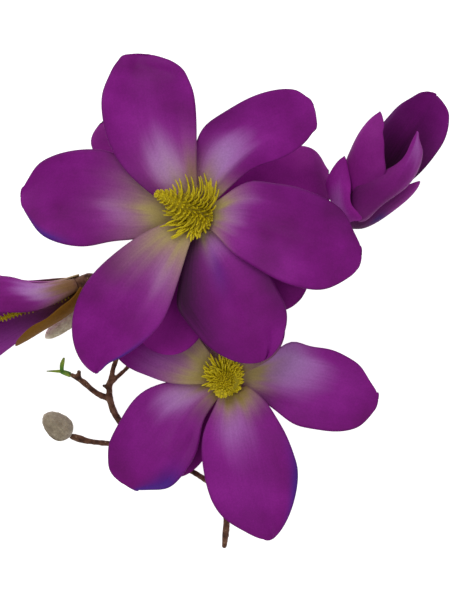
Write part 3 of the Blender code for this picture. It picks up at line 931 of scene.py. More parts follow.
    def build(self, inner: bpy.types.Material, back: bpy.types.Material) -> bpy.types.Object:
        """Make the blade as a closed sheet that thins towards its rim.

        Args:
            inner: the skin of its inner face.
            back: the skin of its back.

        Returns:
            The piece.
        """
        share = np.sin(0.5 * math.pi * np.linspace(0.0, 1.0, ALONG + 1))
        lane = np.linspace(-1.0, 1.0, ACROSS + 1)[None, :]
        shares = np.repeat(share[:, None], ACROSS + 1, axis=1)
        lanes = np.repeat(lane, ALONG + 1, axis=0)
        sheet, facing = self.sheet(share, lane)
        rim = np.maximum(np.abs(lanes) ** 4, np.clip((shares - TIP_RIM) / (1 - TIP_RIM), 0, 1) ** 2)
        half = 0.5 * (MID_THICK + (EDGE_THICK - MID_THICK) * rim)[..., None]
        corners = np.concatenate([self.flower.out((sheet + facing * off).reshape(-1, 3))
                                  for off in (half, -half)])
        if self.rest:
            corners[:, 2] = np.maximum(corners[:, 2], 0.0)

        tone = self.tones(shares, lanes)
        tone = np.concatenate([tone, tone])
        shape = Shape()
        shape.add(corners, sheet_faces(ALONG, ACROSS), tone[:, :4])
        piece = shape.finish(self.node + "_skin", [inner, back])
        mesh = piece.data
        paint(mesh, np.pad(tone[:, 4:], ((0, 0), (0, 2))), "tint")
        slots = np.zeros(len(mesh.polygons), np.int32)
        slots[ALONG * ACROSS:2 * ALONG * ACROSS] = 1
        mesh.polygons.foreach_set("material_index", slots)
        flat_map = np.tile(np.stack([lanes.ravel() * 0.5 + 0.5, shares.ravel()], axis=1), (2, 1))
        layer = mesh.uv_layers.new(name="tepal_map")
        corner_of = np.zeros(len(mesh.loops), np.int32)
        mesh.loops.foreach_get("vertex_index", corner_of)
        layer.uv.foreach_set("vector", flat_map[corner_of].astype(np.float32).ravel())
        return piece


# The four flowers
UPPER = Flower((-13.6, 41.4, 0.0))
LOWER = Flower((2.0, -41.0, 0.0))
BUD = Flower((61.25, 38.5, 13.1), plan=55.0, rise=20.0)
SIDE = Flower((-68.3, 10.2, 25.0), plan=202.0, rise=8.0)

# Seats on the receptacles as (distance off the axis, height); on the bud and the side bloom only the distance
INNER_SEAT = (6.3, 40.0)
MIDDLE_SEAT = (6.3, 36.0)
OUTER_SEAT = (6.3, 32.0)
LOWER_INNER = (5.7, 21.0)
LOWER_MIDDLE = (5.7, 17.5)
LOWER_OUTER = (5.7, 14.0)
BUD_SEAT = 4.9

# Curl across a blade from seat to tip, in degrees: wrapped round a bud, and fluted in the half-open bloom
WRAP = (55, 55, 48, 25)
FLUTE = (50, 45, 34, 18)

# Patches of the deep colour are painted shade under overlapping tepals, along shaded sides and edges, and at
# the feet
UPPER_TEPALS = [
    Tepal("upper_tepal_top", UPPER, 125, INNER_SEAT, [(30, 0, 50), (62, -7, 56), (84, -18.5, 51)], (24, 23),
          shoulder=(0.62, 0.68), blunt=(2.4, 2.2), seed=11,
          trims=[Trim(LEFT, 0.86, 0.07, -1.3), Trim(LEFT, 0.975, 0.025, 1.8), Trim(RIGHT, 0.95, 0.08, 1.9)],
          patches=[Patch(CREAM, 0.0, -0.5, 0.28, 0.9), Patch(GLOW, 0.24, 0.0, 0.2, 0.6, 0.95),
                   Patch(RUST, 0.2, -0.8, 0.1, 0.35, 0.45), Patch(GLOW, 0.45, -0.1, 0.22, 0.5, 0.35),
                   Patch(DEEP, 0.22, 0.95, 0.16, 0.3, 0.25)],
          folds=[Fold((0.9, -0.5), (0.93, 0.4), 3.0, -0.9)]),
    Tepal("upper_tepal_right", UPPER, 4, INNER_SEAT, [(30, -6, 50), (58, -20, 57), (84, -17.5, 47)],
          (24.5, 23), shoulder=(0.5, 0.62), blunt=(2.2, 2.3), seed=12,
          trims=[Trim(LEFT, 0.2, 0.12, 4.0), Trim(LEFT, 0.94, 0.09, -3.4), Trim(RIGHT, 0.18, 0.16, 3.0),
                 Trim(RIGHT, 0.93, 0.09, -2.8)],
          patches=[Patch(CREAM, 0.0, 0.2, 0.12, 1.4), Patch(GLOW, 0.13, 0.1, 0.15, 1.0, 0.55),
                   Patch(GLOW, 0.3, 0.45, 0.18, 0.4, 0.12), Patch(DEEP, 0.7, 0.95, 0.3, 0.35, 0.3)],
          folds=[Fold((0.3, 0.0), (0.86, -0.05), 1.6, 0.5), Fold((0.84, -0.7), (0.9, 0.6), 1.2, 0.4)]),
    Tepal("upper_tepal_low_left", UPPER, 222, INNER_SEAT, [(30, 0, 50), (64, 8, 56), (93.5, 14.4, 44)],
          (22, 24), shoulder=(0.55, 0.55), blunt=(1.6, 1.9), seed=13,
          trims=[Trim(LEFT, 0.4, 0.35, -2.3), Trim(LEFT, 0.86, 0.12, -3.0), Trim(RIGHT, 0.38, 0.2, -2.8),
                 Trim(LEFT, 0.68, 0.12, -1.0), Trim(LEFT, 0.92, 0.06, -2.2)],
          patches=[Patch(CREAM, 0.06, 0.0, 0.24, 1.8, 0.9), Patch(GLOW, 0.32, 0.4, 0.2, 0.6, 0.5),
                   Patch(VIOLET, 0.85, 0.98, 0.14, 0.09, 0.9)]),
    Tepal("upper_tepal_high_right", UPPER, 68, MIDDLE_SEAT, [(32, 4, 43), (54, -13, 58), (79, -24.5, 60)],
          (19, 17), shoulder=(0.45, 0.68), blunt=(2.4, 2.3), seed=14,
          trims=[Trim(LEFT, 0.42, 0.12, 1.9), Trim(LEFT, 0.985, 0.03, -1.4), Trim(RIGHT, 0.43, 0.18, -2.7),
                 Trim(RIGHT, 0.97, 0.03, 1.9)],
          patches=[Patch(CREAM, 0.08, -0.3, 0.15, 1.2), Patch(GLOW, 0.3, 0.1, 0.22, 0.6, 0.95),
                   Patch(GLOW, 0.52, -0.1, 0.16, 0.35, 0.35), Patch(DEEP, 0.4, 1.0, 0.4, 0.35, 0.25)],
          folds=[Fold((0.2, -0.3), (0.62, -0.25), 3.0, 0.8)]),
    Tepal("upper_tepal_low", UPPER, -68, MIDDLE_SEAT, [(28, 0, 43), (56, 3, 50), (78.7, 2, 46)], (23, 26),
          shoulder=(0.6, 0.5), blunt=(2.2, 2.0), seed=15,
          trims=[Trim(LEFT, 0.93, 0.1, -1.8), Trim(LEFT, 0.6, 0.1, -1.4), Trim(RIGHT, 0.43, 0.12, 2.3),
                 Trim(RIGHT, 0.9, 0.12, -0.8)],
          patches=[Patch(CREAM, 0.0, 0.3, 0.1, 1.0), Patch(GLOW, 0.15, 0.2, 0.18, 0.7, 0.6),
                   Patch(VIOLET, 0.3, -0.05, 0.14, 0.18, 0.35), Patch(DEEP, 0.35, -0.95, 0.4, 0.5, 1.0),
                   Patch(DEEP, 0.55, 1.0, 0.3, 0.3, 0.45), Patch(DEEP, 0.06, -0.9, 0.14, 0.6, 1.0)],
          folds=[Fold((0.15, 0.0), (0.7, -0.1), 2.2, 0.5), Fold((0.86, 0.45), (0.99, 0.5), 2.0, -1.4)]),
    Tepal("upper_tepal_left", UPPER, 166, MIDDLE_SEAT, [(30, 0, 43), (62, 4, 53), (89, 7, 48)], (25, 24),
          shoulder=(0.6, 0.6), blunt=(2.2, 1.95), seed=16,
          trims=[Trim(LEFT, 0.44, 0.14, -2.7), Trim(LEFT, 0.96, 0.06, -2.5), Trim(RIGHT, 0.52, 0.12, 1.2),
                 Trim(RIGHT, 0.97, 0.05, -2.9)],
          patches=[Patch(CREAM, 0.12, 0.1, 0.24, 1.7, 0.82), Patch(CREAM, 0.16, 0.35, 0.07, 0.45, 0.8),
                   Patch(GLOW, 0.4, 0.2, 0.16, 0.6, 0.5), Patch(VIOLET, 0.86, 0.98, 0.12, 0.12, 0.95)],
          folds=[Fold((0.3, 0.0), (0.75, 0.2), 4.0, -0.7)]),
    Tepal("upper_outer_high_left", UPPER, 135, OUTER_SEAT, [(26, 0, 33), (54, 0, 24), (72, 0, -1.0)],
          (15, 17), claw=0.2, rest=True, slot=OUTER_SLOT, seed=17,
          patches=[Patch(DEEP, 0.8, 0.0, 0.5, 2.0, 0.45)]),
    Tepal("upper_outer_right", UPPER, 21, OUTER_SEAT, [(30, 0, 33), (58, 0, 24), (72, 0, -1.0)], (18, 18),
          claw=0.2, rest=True, slot=OUTER_SLOT, seed=18),
    Tepal("upper_outer_low_right", UPPER, -38, OUTER_SEAT, [(26, 0, 34), (50, 0, 37), (66, 0, 35)], (18, 18),
          claw=0.16, slot=OUTER_SLOT, seed=19,
          patches=[Patch(DEEP, 0.8, 0.0, 0.6, 2.0, 0.35)]),
    Tepal("upper_outer_low", UPPER, 254, OUTER_SEAT, [(26, 0, 34), (50, 0, 37), (71, 0, 34)], (19, 19),
          claw=0.16, slot=OUTER_SLOT, seed=20),
]

POLLEN_FOOT = Patch(POLLEN, 0.04, 0.0, 0.08, 2.0, 0.8)
# On the lower bloom the wide, weak glow patches halfway along are painted light that lifts the upper bloom's
# shade, and patches of the deep colour are painted shade
LOWER_TEPALS = [
    Tepal("lower_tepal_high_left", LOWER, 160, LOWER_INNER, [(24, 0, 28), (46, -4, 30), (66, -7, 25)],
          (16, 20), seed=21,
          trims=[Trim(LEFT, 0.54, 0.12, -1.0)],
          patches=[Patch(CREAM, 0.16, 0.0, 0.22, 2.0, 0.9), Patch(GLOW, 0.5, 0.0, 0.3, 2.0, 0.45),
                   Patch(POLLEN, 0.04, 0.3, 0.14, 1.0, 0.7)]),
    Tepal("lower_tepal_low", LOWER, -73, LOWER_INNER, [(26, 0, 28), (54, -6, 31), (84, -2, 24)], (24, 23),
          shoulder=(0.56, 0.62), blunt=(1.55, 1.75), seed=22,
          trims=[Trim(LEFT, 0.1, 0.14, 4.2), Trim(LEFT, 0.3, 0.14, 1.1), Trim(RIGHT, 0.24, 0.22, 5.0),
                 Trim(RIGHT, 0.9, 0.12, -3.4)],
          patches=[Patch(CREAM, 0.05, 0.1, 0.1, 1.4, 0.6), Patch(GLOW, 0.2, -0.2, 0.18, 0.65, 0.55),
                   Patch(GLOW, 0.48, -0.1, 0.3, 0.8, 0.26), Patch(POLLEN, 0.02, 0.0, 0.06, 2.0, 0.8),
                   Patch(VIOLET, 0.72, 1.0, 0.22, 0.15, 1.0)],
          folds=[Fold((0.93, 0.2), (0.99, 0.3), 2.0, 0.8)]),
    Tepal("lower_tepal_high", LOWER, 56, LOWER_INNER, [(18, 0, 25), (32, 4, 27), (42, 5, 24)], (16, 14),
          seed=23,
          patches=[Patch(CREAM, 0.1, 0.0, 0.4, 2.0, 0.7), POLLEN_FOOT]),
    Tepal("lower_tepal_low_left", LOWER, 203, LOWER_MIDDLE, [(26, 0, 23), (48, 14, 27), (75, 24, 20)],
          (21.5, 20.5), blunt=(2.4, 2.8), seed=24,
          trims=[Trim(LEFT, 0.27, 0.16, -2.6), Trim(LEFT, 0.96, 0.07, -4.0), Trim(RIGHT, 0.4, 0.17, 2.9),
                 Trim(RIGHT, 0.89, 0.07, -1.0)],
          patches=[Patch(CREAM, 0.04, 0.0, 0.18, 1.5, 0.55), Patch(GLOW, 0.24, -0.34, 0.19, 0.6, 0.8),
                   Patch(GLOW, 0.55, 0.0, 0.3, 0.8, 0.2), POLLEN_FOOT,
                   Patch(VIOLET, 0.9, 0.88, 0.18, 0.32, 1.0)],
          folds=[Fold((0.3, 0.2), (0.62, 0.35), 2.4, 0.9), Fold((0.4, 0.75), (0.85, 0.8), 2.5, -0.8)]),
    Tepal("lower_tepal_right", LOWER, 4, LOWER_MIDDLE, [(26, 0, 23), (52, -10, 27), (77, -11.5, 21)],
          (21, 21), seed=25,
          trims=[Trim(LEFT, 0.33, 0.1, 4.6), Trim(LEFT, 0.76, 0.12, -2.0), Trim(LEFT, 0.93, 0.1, -5.4),
                 Trim(RIGHT, 0.44, 0.12, 1.5), Trim(RIGHT, 0.97, 0.05, -1.6)],
          patches=[Patch(CREAM, 0.07, 0.3, 0.14, 1.2, 0.9), Patch(GLOW, 0.26, 0.5, 0.26, 0.8, 1.0),
                   Patch(GLOW, 0.5, 0.2, 0.3, 0.8, 0.3), Patch(DEEP, 0.22, -0.95, 0.1, 0.3, 0.5)],
          folds=[Fold((0.12, -0.6), (0.4, -0.5), 2.0, -1.2), Fold((0.3, 0.1), (0.8, 0.0), 2.6, 0.5)]),
    Tepal("lower_tepal_back", LOWER, 116, LOWER_MIDDLE, [(16, 0, 20), (28, 0, 23), (38, 0, 22)], (13, 13),
          seed=26,
          patches=[Patch(CREAM, 0.1, 0.0, 0.4, 2.0, 0.7), POLLEN_FOOT]),
    Tepal("lower_outer_low_left", LOWER, 240, LOWER_OUTER, [(24, 0, 15), (42, 0, 14), (58, -3, 11)],
          (10.4, 13), claw=0.2, slot=OUTER_SLOT, seed=27,
          patches=[Patch(DEEP, 0.5, 0.3, 0.5, 0.8, 0.6)]),
    Tepal("lower_outer_right", LOWER, 14, LOWER_OUTER, [(24, -6, 15), (40, -12, 14), (54, -15, 10)], (14, 14),
          claw=0.2, slot=OUTER_SLOT, seed=28),
    Tepal("lower_outer_high_left", LOWER, 140, LOWER_OUTER, [(20, 0, 14), (34, 4, 14), (50, 8, 12)], (14, 14),
          claw=0.2, slot=OUTER_SLOT, seed=29),
]

# Patches of the deep colour are painted shade in the bud's mouth and where its tepals overlap
BUD_TEPALS = [
    Tepal("bud_tepal_back", BUD, 262, (BUD_SEAT, 8), [(17, 0, 18.5), (20, 0, 62.5), (7, 8, 82)], (17, 18.5),
          cup=WRAP, claw=0.28, blunt=(2.5, 2.5), seed=31, wave=0.3,
          trims=[Trim(LEFT, 0.9, 0.1, -2.8), Trim(LEFT, 0.76, 0.12, -1.2), Trim(RIGHT, 0.86, 0.12, -0.8),
                 Trim(RIGHT, 0.975, 0.04, 0.8)],
          patches=[Patch(DEEP, 0.36, 0.0, 0.36, 1.6, 1.0), Patch(DEEP, 0.8, 0.0, 0.4, 2.0, 0.25),
                   Patch(GLOW, 0.68, 0.96, 0.2, 0.16, 0.5)]),
    Tepal("bud_tepal_left", BUD, 50, (BUD_SEAT, 7), [(17, -4, 14.5), (26.5, -12, 40.5), (21, -24, 62.3)],
          (16.2, 8), cup=WRAP, claw=0.34, shoulder=(0.58, 0.42), blunt=(1.6, 1.15), seed=32, wave=0.3,
          trims=[Trim(LEFT, 0.9, 0.07, -2.4), Trim(LEFT, 0.36, 0.14, 6.0), Trim(LEFT, 0.57, 0.1, 3.0),
                 Trim(LEFT, 0.92, 0.05, 1.8), Trim(RIGHT, 0.18, 0.2, 3.6)],
          patches=[Patch(DEEP, 0.2, 0.9, 0.3, 0.4, 0.6)]),
    Tepal("bud_tepal_front", BUD, 112, (BUD_SEAT, 5), [(21, 0, 12.5), (27, 10, 44), (9.5, -8, 64.7)],
          (12.5, 15), cup=WRAP, claw=0.45, shoulder=(0.55, 0.34), blunt=(1.75, 1.25), seed=33, wave=0.3,
          trims=[Trim(LEFT, 0.4, 0.27, -9.0), Trim(RIGHT, 0.76, 0.16, -3.9), Trim(LEFT, 0.95, 0.05, -2.0)],
          patches=[Patch(GLOW, 0.86, 0.2, 0.2, 0.7, 0.5), Patch(DEEP, 0.3, 0.0, 0.35, 2.0, 0.35),
                   Patch(DEEP, 0.2, -0.9, 0.3, 0.4, 0.5)]),
    # its glow patch is a painted highlight
    Tepal("bud_outer_left", BUD, 73, (BUD_SEAT, 3), [(17, -3, 9.5), (25, -19, 20.5), (22.5, -47, 33.0)],
          (5.5, 12), cup=(38, 38, 34, 25), claw=0.45, blunt=(1.3, 1.3), slot=OUTER_SLOT, seed=34, wave=0.3,
          trims=[Trim(LEFT, 0.2, 0.14, 8.0), Trim(RIGHT, 0.25, 0.2, 2.2), Trim(RIGHT, 0.75, 0.2, -2.5)],
          patches=[Patch(GLOW, 0.4, -0.1, 0.4, 0.8, 0.5)]),
    Tepal("bud_outer_right", BUD, 165, (BUD_SEAT, 2), [(12.5, 0, 7.5), (20.5, 0, 24.5), (18, 12, 42)],
          (10.5, 16), cup=WRAP, claw=0.36, blunt=(1.7, 1.5), slot=OUTER_SLOT, seed=35, wave=0.3,
          trims=[Trim(RIGHT, 0.15, 0.2, 4.0), Trim(LEFT, 0.24, 0.2, -2.6)],
          patches=[Patch(DEEP, 0.12, -0.2, 0.3, 1.6, 0.9), Patch(VIOLET, 0.4, -0.3, 0.12, 0.26, 1.0),
                   Patch(DEEP, 0.55, -0.8, 0.4, 0.6, 0.7), Patch(DEEP, 0.7, 0.0, 0.6, 2.0, 0.15)]),
    Tepal("bud_outer_under", BUD, 285, (BUD_SEAT, 4), [(20, 0, 10.5), (25, 0, 30.5), (18, 0, 48.5)], (12, 12),
          cup=WRAP, claw=0.28, blunt=(1.7, 1.7), slot=OUTER_SLOT, seed=36, wave=0.3),
]

# cream at the foot, and a wide, weak glow over the blade that is painted light in the side bloom's shaded cup
SIDE_FOOT = [Patch(CREAM, 0.0, 0.0, 0.24, 2.0), Patch(GLOW, 0.5, 0.0, 0.5, 2.0, 0.3)]
BROWNED = [Patch(RUST, 0.4, 0.0, 1.2, 3.0, 1.3)]
SIDE_TEPALS = [
    Tepal("side_tepal_high", SIDE, 96, (BUD_SEAT, 8), [(8, 0, 20), (12, 18, 42), (27, 48, 76)], (13, 10.5),
          cup=FLUTE, claw=0.3, shoulder=(0.7, 0.7), seed=41,
          trims=[Trim(LEFT, 0.3, 0.14, -2.4), Trim(RIGHT, 0.3, 0.2, 2.2), Trim(RIGHT, 0.56, 0.16, -2.4)],
          patches=[Patch(CREAM, 0.06, 0.0, 0.16, 2.0, 0.8), Patch(GLOW, 0.25, 0.2, 0.12, 0.9, 0.9),
                   Patch(GLOW, 0.38, 0.5, 0.14, 0.5, 0.5), Patch(RUST, 0.0, 0.0, 0.17, 3.0, 0.7)]),
    # its wide glow is painted light inside the shaded cup
    Tepal("side_tepal_low", SIDE, 322, (BUD_SEAT, 8), [(10, 0, 20), (11.5, 6, 42), (19.5, 12, 74)], (13, 12),
          cup=FLUTE, claw=0.5, seed=42,
          patches=[Patch(GLOW, 0.5, 0.0, 0.8, 2.0, 0.4), Patch(RUST, 0.05, 0.0, 0.3, 3.0, 0.95)]),
    Tepal("side_tepal_under", SIDE, 240, (BUD_SEAT, 8), [(10, 0, 22), (14, 0, 44), (22, 0, 76)], (15, 15),
          cup=FLUTE, claw=0.26, seed=43, patches=SIDE_FOOT),
    Tepal("side_outer_high", SIDE, 196, (BUD_SEAT, 4.6), [(5.6, 0, 18), (8.4, 0, 30), (34, 0, 62)], (9, 7),
          cup=FLUTE, claw=0.3, slot=OUTER_SLOT, seed=44, patches=SIDE_FOOT),
    Tepal("side_outer_low", SIDE, 300, (BUD_SEAT, 4.6), [(12.5, 0, 16), (15, 0, 40), (20, 0, 64)], (11, 12),
          cup=FLUTE, claw=0.28, slot=OUTER_SLOT, seed=45, patches=SIDE_FOOT),
    Tepal("side_outer_front", SIDE, 8, (BUD_SEAT, 4.6), [(12, 0, 12), (15, 0, 28), (17, 0, 48)], (10.5, 7),
          cup=FLUTE, claw=0.8, slot=OUTER_SLOT, seed=46, patches=BROWNED),
]


# Flower centres
@dataclass
class Centre:
    """A core set round with curved styles, over a ring of stamens; sizes in millimetres.

    full_side is the azimuth where the stamens are longest, and short_share their length across from it.
    """

    node: str
    flower: Flower
    foot: tuple[float, float, float]
    tip: tuple[float, float, float]
    thick: float
    rings: int
    per_ring: int
    long_style: float
    short_style: float
    style_thick: float
    ring_foot: tuple[float, float, float] = (0.0, 0.0, 0.0)
    ring_wall: float = 0.0
    stamen_rows: int = 0
    stamens: int = 0
    stamen_long: float = 0.0
    lean: float = 0.35
    full_side: float = 0.0
    short_share: float = 1.0
    seed: int = 1

    def radius(self, share: np.ndarray | float) -> np.ndarray:
        """The core's radius at shares of its length."""
        return self.thick * np.interp(share, *CORE_TAPER)

    def core(self, shape: Shape) -> None:
        """Add the tapering core.

        Args:
            shape: the piece to add to.
        """
        share = np.linspace(0, 1, 18)
        line = np.array(self.foot) + (np.array(self.tip) - np.array(self.foot)) * share[:, None]
        shape.limb(self.flower.out(line), self.radius(share), sides=16, lot=0.4, start=0.05, end=0.45)

    def styles(self, shape: Shape) -> None:
        """Add the curved styles; each starts back towards the foot and bends out and up along the core.

        Args:
            shape: the piece to add to.
        """
        dice = random.Random(self.seed)
        foot = np.array(self.foot)
        core = np.array(self.tip) - foot
        way = unit(core)
        side = sideways(way, (1.0, 0.0, 0.0))
        up = np.cross(side, way)
        t = np.linspace(0, 1, 8)[:, None]
        radii = self.style_thick * np.interp(t[:, 0], *STYLE_TAPER)
        for ring in range(self.rings):
            share = FIRST_RING + RING_RUN * ring / (self.rings - 1)
            reach = float(np.interp(share, *STYLE_REACH))
            lean = 0.04 + 0.5 * (1 - reach)
            for index in range(self.per_ring):
                a = 2 * math.pi * (index + 0.5 * (ring % 2)) / self.per_ring + dice.uniform(-0.12, 0.12)
                off = side * math.cos(a) + up * math.sin(a)
                flat = (1.0 - 0.55 * max(math.sin(a), 0.0)) * (0.72 + 0.28 * math.cos(a))
                long = self.short_style + (self.long_style - self.short_style) * reach * flat
                long *= dice.uniform(*STYLE_SPREAD)
                back = dice.uniform(*BACK_BEND) * reach * min(0.2 + 2.4 * share, 1.0)
                line = foot + core * share + off * self.radius(share) * 0.6
                line = line + long * (off * t ** 0.9 + way * (lean * t ** 2 - back * np.sin(math.pi * t)))
                # painted shade: on one side of the core the styles start darker near its foot
                root_shade = 0.3 * max(math.cos(a), 0.0) * max(1 - 1.6 * share, 0.0)
                shape.limb(self.flower.out(line), radii, lot=dice.random(), start=0.1 - root_shade, end=1.0)

    def stamen_ring(self, shape: Shape) -> None:
        """Add the ring's wall and rows of stamens that lean out over the tepals' feet.

        Args:
            shape: the piece to add to.
        """
        wall = np.array(self.ring_foot) + np.array(WALL_HEIGHTS)[:, None] * np.array([[0.0, 0.0, 1.0]])
        shape.limb(self.flower.out(wall), self.ring_wall * np.array(WALL_BULK), sides=24, lot=0.3,
                   start=0.0, end=0.3)
        dice = random.Random(self.seed + STAMEN_SEED)
        t = np.linspace(0, 1, 7)[:, None]
        radii = self.style_thick * np.interp(t[:, 0], *STAMEN_TAPER)
        for row in range(self.stamen_rows):
            radius = self.ring_wall * (0.5 + 0.5 * (row + 1) / self.stamen_rows)
            out = self.lean + 0.4 * row / max(self.stamen_rows - 1, 1)
            for index in range(self.stamens):
                a = 2 * math.pi * (index + 0.5 * (row % 2)) / self.stamens + dice.uniform(-0.1, 0.1)
                off = np.array([math.cos(a), math.sin(a), 0.0])
                turn = np.array([-math.sin(a), math.cos(a), 0.0]) * dice.uniform(-0.25, 0.25)
                facing = (0.5 + 0.5 * math.cos(a - math.radians(self.full_side))) ** 2
                long = self.stamen_long * (self.short_share + (1 - self.short_share) * facing)
                rise = np.array([0.0, 0.0, 0.75]) * (t - 0.42 * t ** 2)
                bend = (off * out * t + turn * t ** 2 + rise) * dice.uniform(*STAMEN_SPREAD)
                line = off * radius + np.array(self.ring_foot) + long * bend
                shape.limb(self.flower.out(line), radii, lot=dice.random(), start=0.2, end=1.0)

    def build(self, skin: bpy.types.Material) -> bpy.types.Object:
        """Make the centre.

        Args:
            skin: its finish.

        Returns:
            The piece.
        """
        shape = Shape()
        self.core(shape)
        self.styles(shape)
        if self.stamens:
            self.stamen_ring(shape)
        return shape.finish(self.node + "_threads", [skin])


CENTRES = [
    Centre("upper_centre", UPPER, (4.2, 0.8, 43.0), (-20.5, 11.2, 56.5), 3.2, 14, 15, 16.5, 1.3, 0.56,
           ring_foot=(0.0, 0.0, 42.4), ring_wall=6.2, stamen_rows=3, stamens=28, stamen_long=12.8, lean=0.6,
           full_side=184.0, short_share=0.12, seed=51),
    Centre("lower_centre", LOWER, (-1.6, 1.0, 23.6), (-3.6, -6.0, 33.0), 3.8, 13, 20, 4.2, 2.2, 0.5,
           ring_foot=(-0.7, 0.2, 23.3), ring_wall=6.2, stamen_rows=5, stamens=44, stamen_long=13.0,
           full_side=130.0, short_share=0.2, seed=52),
    Centre("bud_centre", BUD, (0.0, 0.0, 12.3), (0.0, 0.0, 28.3), 2.4, 9, 10, 4.0, 1.5, 0.4, seed=53),
    Centre("side_centre", SIDE, (2.0, -0.6, 12.3), (1.4, -2.6, 52.0), 1.8, 20, 11, 2.0, 1.2, 0.4, seed=54),
]


# Wood
@dataclass
class Limb:
    """One run of wood through points of the layout, with its radius at each."""

    points: Sequence[Sequence[float]]
    radii: Sequence[float]
    smooth: bool = True

    def line(self) -> tuple[np.ndarray, np.ndarray]:
        """The limb's middle line and radii, rounded through its points as a spline of order three.

        Returns:
            Points and radii, closely spaced.
        """
        points = np.array(self.points, float)
        radii = np.array(self.radii, float)
        if not self.smooth:
            return points, radii
        knots, order = len(points), 3
        steps = max(int(run_length(points)[-1] / LIMB_STEP), 8)
        u = np.linspace(0, knots - order + 1, steps)
        ends = np.zeros(order - 1)
        bounds = np.concatenate([ends, np.arange(knots - order + 2), ends + knots - order + 1])
        basis = np.zeros((len(u), len(bounds) - 1))
        for k in range(len(bounds) - 1):
            basis[:, k] = (u >= bounds[k]) & (u < bounds[k + 1])
        basis[-1, knots - 1] = 1.0
        for degree in range(1, order):
            for k in range(len(bounds) - degree - 1):
                left = bounds[k + degree] - bounds[k]
                right = bounds[k + degree + 1] - bounds[k + 1]
                value = (u - bounds[k]) / left * basis[:, k] if left else 0.0
                if right:
                    value = value + (bounds[k + degree + 1] - u) / right * basis[:, k + 1]
                basis[:, k] = value
        share = basis[:, :knots]
        return share @ points, share @ radii


def post(flower: Flower, heights: Sequence[float], radii: Sequence[float]) -> Limb:
    """A receptacle: a round post on the flower's axis."""
    spots = flower.out(np.array([[0.0, 0.0, h] for h in heights]))
    return Limb(spots.tolist(), radii, smooth=False)


WOOD = [
    Limb([(-0.5, -129.0, 0.7), (0.5, -120.5, 1.5), (1.0, -114, 2.6), (-1.6, -98, 3.8), (-0.5, -73, 4.2),
          (2.0, -49, 4.4), (-1.6, -31, 4.2), (-10, -15, 4.6), (-13, -6, 5.0), (-15, 12, 10), (-14.2, 30, 18),
          (-13.6, 41.4, 27)], [1.2, 2.0, 1.5, 1.7, 2.0, 2.4, 2.4, 2.7, 3.0, 3.0, 3.4, 4.4]),
    post(UPPER, (24, 27, 29, 41, 42), (3.4, 5.0, 5.8, 5.8, 4.9)),
    post(LOWER, (3.4, 8, 11.5, 22.0, 22.8), (2.6, 3.2, 5.2, 5.2, 4.4)),
    Limb([(-13, -5, 5.0), (-28, 0, 6), (-49, 5.0, 14), (-60, 9.0, 21), (-67, 10.8, 24.7)],
         [2.6, 2.2, 2.2, 2.6, 3.2]),
    post(SIDE, (-2, 1, 3, 11, 11.8), (3.0, 4.2, 4.0, 4.0, 3.2)),
    Limb([(-13, -6, 5.0), (3, 5.4, 5.2), (28.6, 21.8, 7), (49, 31.6, 9.4), (59.6, 37.0, 12.4)],
         [2.6, 2.2, 2.1, 2.3, 3.0]),
    post(BUD, (-2, 1, 3, 11, 11.8), (2.8, 3.8, 4.0, 4.0, 3.2)),
    Limb([(-1.6, -99.5, 4.0), (-9.9, -93.5, 3.6), (-17.7, -88.6, 3.6), (-32, -81, 3.6), (-44.2, -76.2, 3.4),
          (-60.3, -74.6, 3.2), (-70.7, -73.6, 3.4), (-76, -71.9, 4.0), (-80, -70.6, 5.2)],
         [1.7, 1.5, 1.4, 1.5, 1.7, 1.4, 1.4, 2.2, 1.5]),
    Limb([(-43.5, -77, 3.4), (-50, -68.5, 3.4), (-56.2, -61.4, 3.4), (-59.3, -54.6, 3.4), (-60, -49, 3.4),
          (-60.3, -44.7, 3.5), (-58.8, -39.5, 3.8), (-58.0, -34.5, 4.2), (-55, -27, 5)],
         [1.6, 1.7, 1.8, 1.8, 1.6, 1.7, 1.4, 1.3, 1.4]),
    Limb([(-59.8, -51.4, 3.4), (-65, -49.6, 3.4), (-69.7, -46.3, 3.6), (-73.8, -42.1, 3.8),
          (-80.0, -38.7, 4.2)], [1.7, 1.5, 1.5, 1.6, 1.2]),
    Limb([(-60.2, -44.6, 3.4), (-58, -41.6, 4.4), (-54.4, -38.6, 5.0), (-51, -35.6, 5.6),
          (-46.5, -30.5, 6.2)], [1.4, 1.2, 1.1, 1.1, 1.2]),
    Limb([(-50, 5.8, 14), (-57, 1.8, 13.6), (-66, -1.2, 13.8), (-71.4, -3.0, 14.0)], [1.8, 1.3, 1.2, 1.5]),
    Limb([(-75.5, -41.4, 3.9), (-76.2, -38.8, 4.3), (-75.7, -36.8, 4.6)], [1.3, 1.1, 1.1]),
    Limb([(-60.2, -45.4, 3.5), (-62.4, -44.9, 3.9), (-63.4, -44.2, 4.2)], [1.2, 1.1, 0.7]),
    Limb([(-55.3, -27.8, 4.9), (-54.2, -24.6, 5.4), (-53.4, -21.5, 5.8)], [1.3, 2.0, 0.6]),
    Limb([(-47, -31, 6.1), (-44.8, -28.6, 6.5), (-42.8, -26.4, 6.9)], [1.0, 1.7, 0.6]),
]


